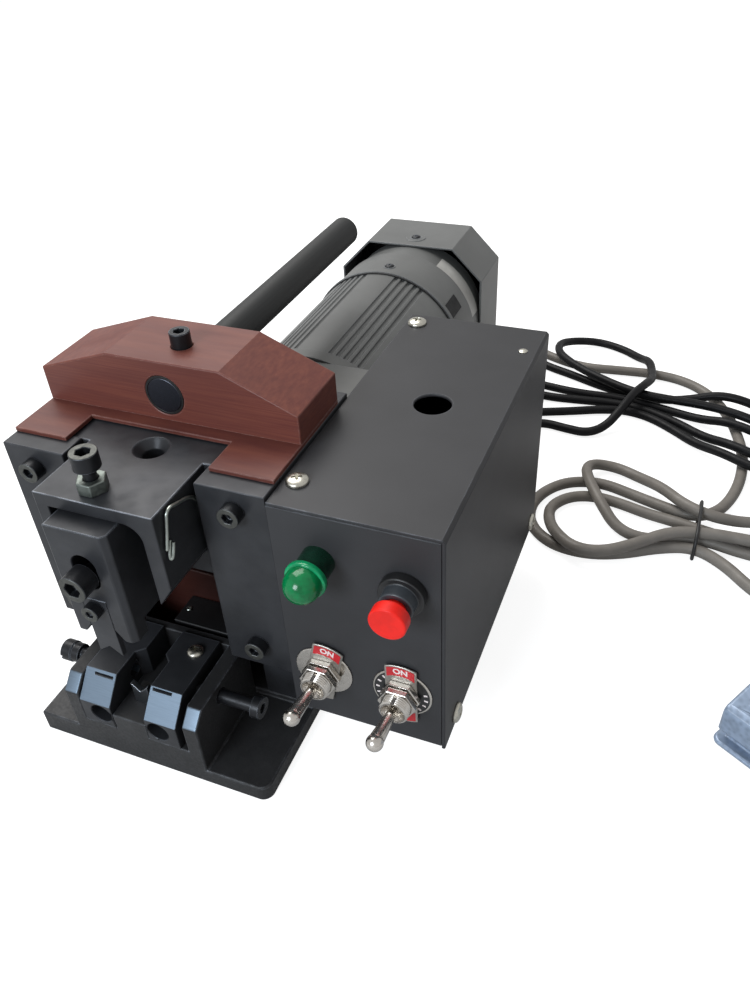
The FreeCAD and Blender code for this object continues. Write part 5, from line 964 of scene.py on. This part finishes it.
class STRIPPER_OT_lamp(bpy.types.Operator):
    """Green pilot lamp: barrel, ridge and clear dome"""
    bl_idname = "stripper.lamp"
    bl_label = "Pilot lamp"

    def execute(self, context):
        low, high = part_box("lamp_lens")
        seat = Vector(((low.x + high.x) / 2, high.y, (low.z + high.z) / 2))
        arc = [math.radians(9 * k) for k in range(1, 10)]
        dome = [(DOME_FOOT, DOME_RADIUS), (DOME_START, DOME_RADIUS)]
        dome += [(DOME_START + DOME_HEIGHT * math.sin(t), DOME_RADIUS * math.cos(t)) for t in arc]
        dome += [(DOME_START + DOME_HEIGHT, 0)]
        bm = bmesh.new()
        # The ridge takes the green painted lighter as a highlight, the barrel the green painted
        # darker as shade.
        for finish, profile in ((2, LAMP_BARREL), (1, LAMP_RIDGE), (0, dome)):
            turned(bm, profile, seat, (0, -1, 0), 64, finish)
        keep("lamp_lens_moulded", bm, ["lens", "lens_rim", "lens_barrel"], "lamp_lens",
             ["lamp_lens"], 50)
        return {"FINISHED"}


# How far the button's ring stands before the panel; what is behind its front is black.
BUTTON_RING = 4.2


class STRIPPER_OT_button(bpy.types.Operator):
    """Red push button in its grey barrel"""
    bl_idname = "stripper.button"
    bl_label = "Push button"

    def execute(self, context):
        ring_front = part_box("box_chassis")[0].y - BUTTON_RING * MM
        edged("button_body", BUTTON_EDGE * MM, "barrel", context.scene.stripper_sizes.edge_steps,
              "plastic", lambda face: face.calc_center_median().y > ring_front)
        dress("stop_button")
        spring("button_spring", "button_push", 1)
        return {"FINISHED"}


# The switches' height above the table, and their bushes' length. The solid's bush is drawn in to
# the core where it is wider than BUSH_SOLID; a thread between two radii and a mouth surround it.
TOGGLE_HEIGHT = 53.2
TOGGLE_BUSH = 11.0
BUSH_CORE, BUSH_SOLID = 5.2, 5.5
THREAD_CREST, THREAD_ROOT = 5.75, 5.3
BUSH_MOUTH = [(TOGGLE_BUSH - 0.1, 5.1), (TOGGLE_BUSH, 4.9), (TOGGLE_BUSH, 4.6), (1.0, 4.9)]
KEYWAY_REACH, KEYWAY_DEPTH, KEYWAY_RADII = 0.75, 6.8, (4.0, 7.0)
# The tags: the left one's turn in degrees, and the printed band's radii, half angles and heights.
LEFT_TAG_TURN = 13.0
BAND_OUTER, BAND_INNER = (14.8, range(-22, 23, 4)), (10.4, range(32, -33, -8))
BAND_PROUD = (0.0, 0.06)
LETTER_SIZE, LETTER_PLACE, LETTER_PROUD, LETTER_DEPTH, LETTER_WEIGHT = 3.7, 12.6, 0.09, 0.03, 0.12
# The right washer's black ring, and its marks: their turns in degrees up from the right, their
# distance from the middle, half length and half width, and how far they stand proud.
WASHER_WIDTH = 20.0
RING_PROFILE = [(-0.05, 11.2), (0.06, 11.2), (0.06, 6.6), (-0.05, 6.6)]
MARK_TURNS = (-44, -24, -6, 12, 136, 156, 176, 196)
MARK_PLACE, MARK_LENGTH, MARK_WIDTH, MARK_PROUD = 9.7, 0.75, 0.42, (0.08, 0.12)


class STRIPPER_OT_toggles(bpy.types.Operator):
    """Toggle switches: threaded bushes with keyways, nuts, washers, tags and bat levers"""
    bl_idname = "stripper.toggles"
    bl_label = "Toggle switches"

    def execute(self, context):
        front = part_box("box_chassis")[0].y
        seats = []
        for node in ("left_toggle_lever", "right_toggle_lever"):
            low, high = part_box(node)
            seats.append(Vector(((low.x + high.x) / 2, front, at(0, 0, TOGGLE_HEIGHT).z)))
            dress(node)
        self.bushes(context.scene.stripper_sizes.thread_pitch / MM, seats, front)
        dress("toggle_nuts", "toggle_tags")
        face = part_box("toggle_tags")[0].y
        self.print_band("left_tag_band", seats[0], face, math.radians(LEFT_TAG_TURN), (1,))
        self.print_band("right_tag_band", seats[1], face, 0.0, (1, -1))
        self.print_ring(seats[1])
        return {"FINISHED"}

    def bushes(self, pitch, seats, front):
        """Threads with a keyway in place of the solids' plain bushes."""
        bodies = finished("toggle_bodies", "chrome")
        for vert in bodies.data.vertices:
            seat = min(seats, key=lambda place: abs(place.x - vert.co.x))
            off = Vector((vert.co.x - seat.x, 0, vert.co.z - seat.z))
            if vert.co.y < front and off.length > BUSH_SOLID * MM:
                vert.co -= off * (1 - BUSH_CORE * MM / off.length)
        teeth = int(TOGGLE_BUSH / pitch) - 1
        profile = [(TOGGLE_BUSH - pitch * (teeth - k / 2), THREAD_CREST if k % 2 else THREAD_ROOT)
                   for k in range(2 * teeth)]
        bm, keyways = bmesh.new(), bmesh.new()
        low, high = KEYWAY_RADII
        for seat in seats:
            turned(bm, profile + BUSH_MOUTH, seat, (0, -1, 0), hollow=True)
            brick(keyways, seat + Vector((-KEYWAY_REACH, -TOGGLE_BUSH - 1, low)) * MM,
                  seat + Vector((KEYWAY_REACH, -TOGGLE_BUSH + KEYWAY_DEPTH, high)) * MM)
        carve(keep("toggle_bush_threads", bm, "chrome", "toggle_bodies"), keyways)

    def print_band(self, name, seat, face, turn, ends):
        """A red band printed across a tag's end, with plain white ON letters at the top."""

        def on_tag(x, z, proud):
            return Vector((seat.x + (x * math.cos(turn) + z * math.sin(turn)) * MM,
                           face - proud * MM,
                           seat.z + (z * math.cos(turn) - x * math.sin(turn)) * MM))

        bm = bmesh.new()
        shape = [(radius * math.cos(math.radians(90 + a)), radius * math.sin(math.radians(90 + a)))
                 for radius, angles in (BAND_OUTER, BAND_INNER) for a in angles]
        for end in ends:
            slab(bm, *([on_tag(x, end * z, proud) for x, z in shape] for proud in BAND_PROUD))
        keep(name, bm, "tag", "toggle_tags")
        curve = bpy.data.curves.new(name + "_on", "FONT")
        curve.body = "ON"
        curve.size = LETTER_SIZE * MM
        curve.align_x = "CENTER"
        curve.align_y = "CENTER"
        curve.extrude = LETTER_DEPTH * MM
        curve.offset = LETTER_WEIGHT * MM
        text = bpy.data.objects.new(name + "_on", curve)
        mesh = bpy.data.meshes.new_from_object(text)
        bpy.data.objects.remove(text)
        letters = bmesh.new()
        letters.from_mesh(mesh)
        bpy.data.meshes.remove(mesh)
        for vert in letters.verts:
            x, z, proud = vert.co / MM
            vert.co = on_tag(x, z + LETTER_PLACE, proud + LETTER_PROUD)
        keep(name + "_letters", letters, "letters", "toggle_tags")

    def print_ring(self, seat):
        """The right washer's black face with plain white marks."""
        washer = next(box for box in solids("toggle_nuts")
                      if box[1].x - box[0].x > WASHER_WIDTH * MM)
        place = Vector((seat.x, washer[0].y, seat.z))
        bm, marks = bmesh.new(), bmesh.new()
        turned(bm, RING_PROFILE, place, (0, -1, 0), 64, hollow=True)
        keep("right_washer_print", bm, "tag_black", "toggle_nuts")
        for turn in MARK_TURNS:
            out = Vector((math.cos(math.radians(turn)), 0, math.sin(math.radians(turn))))
            side = Vector((-out.z, 0, out.x))
            corners = [place + (out * (MARK_PLACE + MARK_LENGTH * i) + side * MARK_WIDTH * j) * MM
                       for i, j in ((-1, -1), (1, -1), (1, 1), (-1, 1))]
            slab(marks, *([corner - Vector((0, proud * MM, 0)) for corner in corners]
                          for proud in MARK_PROUD))
        keep("right_washer_marks", marks, "letters", "toggle_nuts")


class STRIPPER_OT_pedal(bpy.types.Operator):
    """Foot pedal: case and treadle of cast metal with hammered enamel"""
    bl_idname = "stripper.pedal"
    bl_label = "Foot pedal"

    def execute(self, context):
        dress("pedal_case", "pedal_treadle")
        return {"FINISHED"}


class STRIPPER_OT_works(bpy.types.Operator):
    """Finishes of the pieces that the solids already give, most of them inside"""
    bl_idname = "stripper.works"
    bl_label = "Inner works"

    def execute(self, context):
        for node, piece in frame["nodes"].items():
            piece.data.materials.clear()
            word = NODE_FINISH.get(node, SLOT_FINISH[SLOT_OF[node]])
            piece.data.materials.append(FINISHES[word])
        return {"FINISHED"}


# The cords' routes, in millimetres from the base's front left corner. Each list starts with steps
# from the gland's mouth, and the mains cord's ends in its plug.
GLAND_MOUTH = {"mains": (156, 195, 52), "pedal": (132, 195, 52)}
MAINS_START = [(0, 17, -1), (-3, 36, -13), (-11, 54, -34)]
MAINS_ROUTE = [
    (138, 268, 5), (135, 285, 3), (141, 300, 3), (155, 307, 3), (171, 304, 3), (184, 303, 3),
    (194, 311, 5), (201, 324, 12), (206, 338, 16.1), (212, 353, 16.1), (214.5, 367, 12),
    (213, 381, 10.1), (209.5, 395, 9.9), (202, 408, 4), (189, 420, 3), (170, 427, 3),
    (153, 418, 6), (144, 403, 10), (147, 389, 10.2), (157, 378, 10.2), (170, 369, 9.6),
    (184, 361, 9.5), (198, 354, 9.5), (213, 349, 9.5), (229, 348, 9.5), (246, 347, 9.9),
    (262, 344, 10.2), (279, 338, 9.9), (293, 338, 4), (308, 344, 3), (323, 344, 3), (334, 333, 3),
    (332, 318, 3), (319, 310, 3), (303, 312, 5), (287, 321, 9.9), (266, 331, 10), (250, 338, 4),
    (230, 344.5, 3), (210, 350, 3), (190, 351, 3), (168, 350, 3), (146, 353, 3), (124, 357, 3),
    (103, 358, 3), (87, 368, 3), (86, 386, 3), (101, 397, 3), (122, 392, 3), (141, 380, 3),
    (160, 373, 3), (178, 365, 3), (195, 359, 3), (212, 356.5, 3), (229, 358, 3), (243, 361, 5),
    (257, 362, 9.9), (273, 360, 9.9), (290, 359, 4), (310, 362, 3), (333, 356, 3), (347, 336, 3),
    (341, 312, 3), (323, 298, 4), (303, 294, 8), (285, 297, 9.9), (268, 306, 9.9), (253, 318, 4),
    (235, 332, 3), (215, 341.5, 3), (194, 344, 3), (171, 341, 3), (150, 339, 3), (130, 343, 3),
    (109, 344, 3), (94, 335, 3), (94, 318, 3), (109, 308, 3), (131, 311, 3), (151, 319, 3),
    (170, 326, 3), (186, 333, 3), (202, 337, 3), (218, 333.5, 3), (234, 323, 3), (249, 309, 4),
    (264, 296, 9.5), (280, 286, 10), (297, 281, 9), (312, 283, 9.5), (326, 286, 10.2),
]
# The length of the plug's pins, in millimetres.
PLUG_PINS = 16.9
PEDAL_START = [(0, 17, -1), (-6, 36, -14), (-17, 55, -33)]
PEDAL_ROUTE = [
    (101, 269, 8), (86, 286, 3.3), (72, 306, 3.3), (63, 330, 3.3), (62, 356, 3.3), (68, 382, 3.3),
    (83, 402, 3.3), (103, 410, 3.3), (124, 404, 3.3), (143, 393, 3.3), (166, 385, 3.3),
    (191, 388, 3.3), (214, 390, 3.3), (235, 386, 3.3), (252, 373, 3.3), (264, 353, 3.3),
    (272, 330, 3.3), (277, 305, 3.3), (277, 281, 3.3), (273, 260, 3.3), (266, 243, 4.5),
    (254, 234, 5.6), (238, 239.5, 4.4), (220, 247, 3.3), (202, 253, 3.3), (184, 249, 3.3),
    (172, 236, 3.3), (167, 219, 3.3), (171, 202, 3.3), (185, 190, 3.3), (204, 188, 3.3),
    (222, 194, 3.3), (240, 204, 4.4), (257, 208.5, 5.6), (273, 201, 4.4), (287, 187, 3.3),
    (302, 178, 3.3), (317, 181, 3.3), (323, 194, 3.3), (317, 207, 3.3), (302, 213.5, 3.3),
    (281, 213.5, 3.8), (262, 216, 5.6), (246, 214, 4.8), (231, 209, 3.3), (216, 213, 4.5),
    (205, 226, 9.5), (197, 240, 10.5), (191, 254, 10.5), (194, 268, 5.5), (208, 271, 3.3),
    (222, 263, 4.5), (235, 250, 10), (248, 235, 12.3), (262, 229, 12.3), (278, 235, 7),
    (294, 245, 3.3), (311, 253, 3.3), (328, 258, 3.3), (344, 259, 3.3), (357, 251, 3.3),
    (359, 237, 3.3), (349, 227, 3.3), (333, 220.5, 3.3), (314, 220, 3.3), (297, 222, 3.3),
    (279, 222, 4.2), (262, 223, 5.6), (246, 228, 4.6), (230, 232, 3.3), (214, 237, 3.3),
    (199, 239, 3.3), (186, 234, 3.3), (178, 222, 3.3), (180, 207, 6.5), (186, 193, 10),
    (198, 183, 10.2), (212, 184, 10.2), (227, 195, 10.2), (243, 209, 12.2), (262, 214, 12.3),
    (280, 216, 11), (301, 216.8, 10.2), (323, 216, 10.2), (344, 217.5, 6.5), (356.5, 222, 3.3),
    (368.5, 223, 3.3), (379.5, 218, 4.5), (385.5, 207.5, 8), (384.5, 195.5, 12),
]
PEDAL_CORNER = (275.0, 91.0)
PEDAL_TURN = math.radians(-31)
# Where the pedal's cord enters it, and how far before that it runs straight.
PEDAL_ENTRY, PEDAL_STRAIGHT = (40, 124.0, 13), 10
MAINS_WIDTH, PEDAL_WIDTH = 5.6, 6.3
# The tie's place along the hank, its width, and its loop's places behind and above the corner.
TIE_PLACE, TIE_WIDTH = 257.1, 1.8
TIE_LOOP = [(202.2, 1.0), (202.2, 11.0), (209.5, 16.6), (234.5, 16.6), (242.2, 11.0),
            (242.2, 1.0), (236.0, 1.0), (208.0, 1.0)]


def on_pedal(across, along, height):
    """A place on the pedal, in millimetres from its front left corner."""
    return (PEDAL_CORNER[0] + across * math.cos(PEDAL_TURN) - along * math.sin(PEDAL_TURN),
            PEDAL_CORNER[1] + across * math.sin(PEDAL_TURN) + along * math.cos(PEDAL_TURN), height)


class STRIPPER_OT_cords(bpy.types.Operator):
    """Mains cord with its plug, and the pedal's cord with its tie"""
    bl_idname = "stripper.cords"
    bl_label = "Cords"

    def execute(self, context):
        mains = self.run("mains_cord", GLAND_MOUTH["mains"], MAINS_START, MAINS_ROUTE, MAINS_WIDTH,
                         "mains")
        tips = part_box("mains_plug")[1].x
        plug = edged("mains_plug", PLUG_EDGE * MM, "mains", 3, "tin",
                     lambda face: face.calc_center_median().x > tips - PLUG_PINS * MM)
        across, along, height = PEDAL_ENTRY
        ends = [on_pedal(across, along + PEDAL_STRAIGHT, height), on_pedal(*PEDAL_ENTRY)]
        grey = self.run("pedal_cord", GLAND_MOUTH["pedal"], PEDAL_START, PEDAL_ROUTE + ends,
                        PEDAL_WIDTH, "grey")
        tie = wire("cord_tie_loop", [at(TIE_PLACE, y, z) for y, z in TIE_LOOP], TIE_WIDTH,
                   "plastic", "cord_tie", 4, 8, closed=True)
        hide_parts("cord_tie")
        return {"FINISHED"}

    def run(self, node, mouth, start, route, width, finish):
        """A cord's jacket, from its gland's mouth by the steps of its start and then its route."""
        first = [[a + b for a, b in zip(mouth, step)] for step in start]
        jacket = wire(node + "_jacket", [at(*place) for place in (mouth, *first, *route)], width,
                      finish, node)
        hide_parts(node)
        return jacket


# The camera, from the photograph's own lines: its place in millimetres from the base's front left
# corner, its turns in radians, and its focal length in pixels of a frame 750 wide.
CAMERA_PLACE = (237.9, -160.05, 308.7)
CAMERA_YAW, CAMERA_PITCH, CAMERA_ROLL = -0.416, -0.665, -0.062
FOCAL_PIXELS = 845.4
FRAME_WIDTH = 750
SENSOR = 36.0
NEAREST_SEEN = 0.01
# The floor's half width in metres, its gap below the lowest piece in millimetres, and its grey.
FLOOR_REACH, FLOOR_GAP, FLOOR_GREY = 4.0, 0.02, 0.5
# How white the floor looks beyond the light that falls on it: seen straight, and in gloss.
FLOOR_GLOW, FLOOR_SHEEN = 0.86, 0.16
# The surroundings' plain light, and how white they look in gloss.
WORLD_LIGHT, WORLD_SHEEN = 0.32, 0.5
WHITE = (1, 1, 1, 1)
# The softboxes: steps in metres from a place in the machine, size in metres, power and colour.
LIT_PLACE = (90, 100, 60)
SOFTBOXES = {
    "key_softbox": ((-0.55, 0.45, 1.1), 0.9, 14.5, (1.0, 0.985, 0.96)),
    "front_softbox": ((-0.25, -1.1, 0.62), 0.5, 11.5, (0.84, 0.92, 1.0)),
}


def background_rays(tree, straight, glossy):
    """How strongly camera, glossy and transmission rays see the backdrop; 0 for light."""
    light = add(tree, "ShaderNodeLightPath")
    seen = 0.0
    for word, share in (("Is Camera Ray", straight), ("Is Glossy Ray", glossy),
                        ("Is Transmission Ray", straight)):
        part = add(tree, "ShaderNodeMath", {0: light.outputs[word], 1: share},
                   operation="MULTIPLY")
        seen = add(tree, "ShaderNodeMath", {0: part.outputs[0], 1: seen},
                   operation="MAXIMUM").outputs[0]
    return seen


class STRIPPER_OT_stage(bpy.types.Operator):
    """Pale floor, soft studio light and the camera at the photograph's angle"""
    bl_idname = "stripper.stage"
    bl_label = "Stage"

    def execute(self, context):
        context.scene.view_settings.view_transform = "Standard"
        self.camera(context.scene)
        self.floor(context.scene)
        self.world(context.scene)
        target = at(*LIT_PLACE)
        for name, (step, size, power, colour) in SOFTBOXES.items():
            data = bpy.data.lights.new(name, "AREA")
            data.shape = "SQUARE"
            data.size = size
            data.energy = power
            data.color = colour
            lamp = bpy.data.objects.new(name, data)
            context.scene.collection.objects.link(lamp)
            lamp.location = target + Vector(step)
            lamp.rotation_euler = (-Vector(step)).to_track_quat("-Z", "Y").to_euler()
        return {"FINISHED"}

    def camera(self, scene):
        """The camera, turned and rolled as the photograph's was."""
        yaw, pitch, roll = CAMERA_YAW, CAMERA_PITCH, CAMERA_ROLL
        forward = Vector((math.sin(yaw) * math.cos(pitch), math.cos(yaw) * math.cos(pitch),
                          math.sin(pitch)))
        level = Vector((math.cos(yaw), -math.sin(yaw), 0))
        upward = level.cross(forward)
        right = math.cos(roll) * level + math.sin(roll) * upward
        up = -math.sin(roll) * level + math.cos(roll) * upward
        data = bpy.data.cameras.new("camera")
        data.sensor_fit = "HORIZONTAL"
        data.sensor_width = SENSOR
        data.lens = FOCAL_PIXELS * SENSOR / FRAME_WIDTH
        data.clip_start = NEAREST_SEEN
        camera = bpy.data.objects.new("camera", data)
        scene.collection.objects.link(camera)
        camera.matrix_world = Matrix.Translation(at(*CAMERA_PLACE)) @ Matrix(
            (right, up, -forward)).transposed().to_4x4()
        scene.camera = camera

    def floor(self, scene):
        """Matte white paper, which also looks white beyond the light but keeps the shadow."""
        bm = bmesh.new()
        bmesh.ops.create_grid(bm, x_segments=1, y_segments=1, size=FLOOR_REACH)
        mesh = bpy.data.meshes.new("floor")
        bm.to_mesh(mesh)
        bm.free()
        floor = bpy.data.objects.new("floor", mesh)
        floor.location = (0, 0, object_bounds()[0][2] - FLOOR_GAP * MM)
        scene.collection.objects.link(floor)
        material, tree, shader = start_finish(
            "paper_white_matte", roughness=0.9, base_color=(*[FLOOR_GREY] * 3, 1),
            specular_ior_level=0.0, emission_color=WHITE)
        tree.links.new(background_rays(tree, FLOOR_GLOW, FLOOR_SHEEN),
                       shader.inputs["Emission Strength"])
        mesh.materials.append(material)
        floor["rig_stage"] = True

    def world(self, scene):
        """Plain white surroundings that light softly and look brighter than they light."""
        scene.world = bpy.data.worlds.new("studio")
        scene.world.use_nodes = True
        tree = scene.world.node_tree
        strength = add(tree, "ShaderNodeMapRange", {
            "Value": background_rays(tree, 1.0, WORLD_SHEEN), "To Min": WORLD_LIGHT})
        back = tree.nodes["Background"]
        back.inputs["Color"].default_value = WHITE
        tree.links.new(strength.outputs["Result"], back.inputs["Strength"])


PIECES = (STRIPPER_OT_works, STRIPPER_OT_cords, STRIPPER_OT_base, STRIPPER_OT_head,
          STRIPPER_OT_slider, STRIPPER_OT_bridge, STRIPPER_OT_cavity, STRIPPER_OT_motor,
          STRIPPER_OT_box, STRIPPER_OT_lamp, STRIPPER_OT_button, STRIPPER_OT_toggles,
          STRIPPER_OT_pedal, STRIPPER_OT_stage)


class STRIPPER_PT_panel(bpy.types.Panel):
    """Lists the machine's groups, sizes and colours"""
    bl_idname = "STRIPPER_PT_panel"
    bl_label = "Wire Stripping Machine"
    bl_space_type = "VIEW_3D"
    bl_region_type = "UI"
    bl_category = "Wire Stripper"

    def draw(self, context):
        for operator in PIECES:
            self.layout.operator(operator.bl_idname)
        for group in (context.scene.stripper_sizes, context.scene.stripper_colours):
            column = self.layout.column()
            for word in group.__annotations__:
                column.prop(group, word)


CLASSES = (StripperSizes, StripperColours, *PIECES, STRIPPER_PT_panel)


def register():
    for kind in CLASSES:
        bpy.utils.register_class(kind)
    bpy.types.Scene.stripper_sizes = PointerProperty(type=StripperSizes)
    bpy.types.Scene.stripper_colours = PointerProperty(type=StripperColours)


def unregister():
    del bpy.types.Scene.stripper_colours
    del bpy.types.Scene.stripper_sizes
    for kind in reversed(CLASSES):
        bpy.utils.unregister_class(kind)


def main():
    register()
    make_finishes(bpy.context.scene.stripper_colours)
    for operator in PIECES:
        group, word = operator.bl_idname.split(".")
        getattr(getattr(bpy.ops, group), word)()
    sides = {"cad": CAD_BOX, "visual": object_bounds()}


if __name__ == "__main__":
    main()
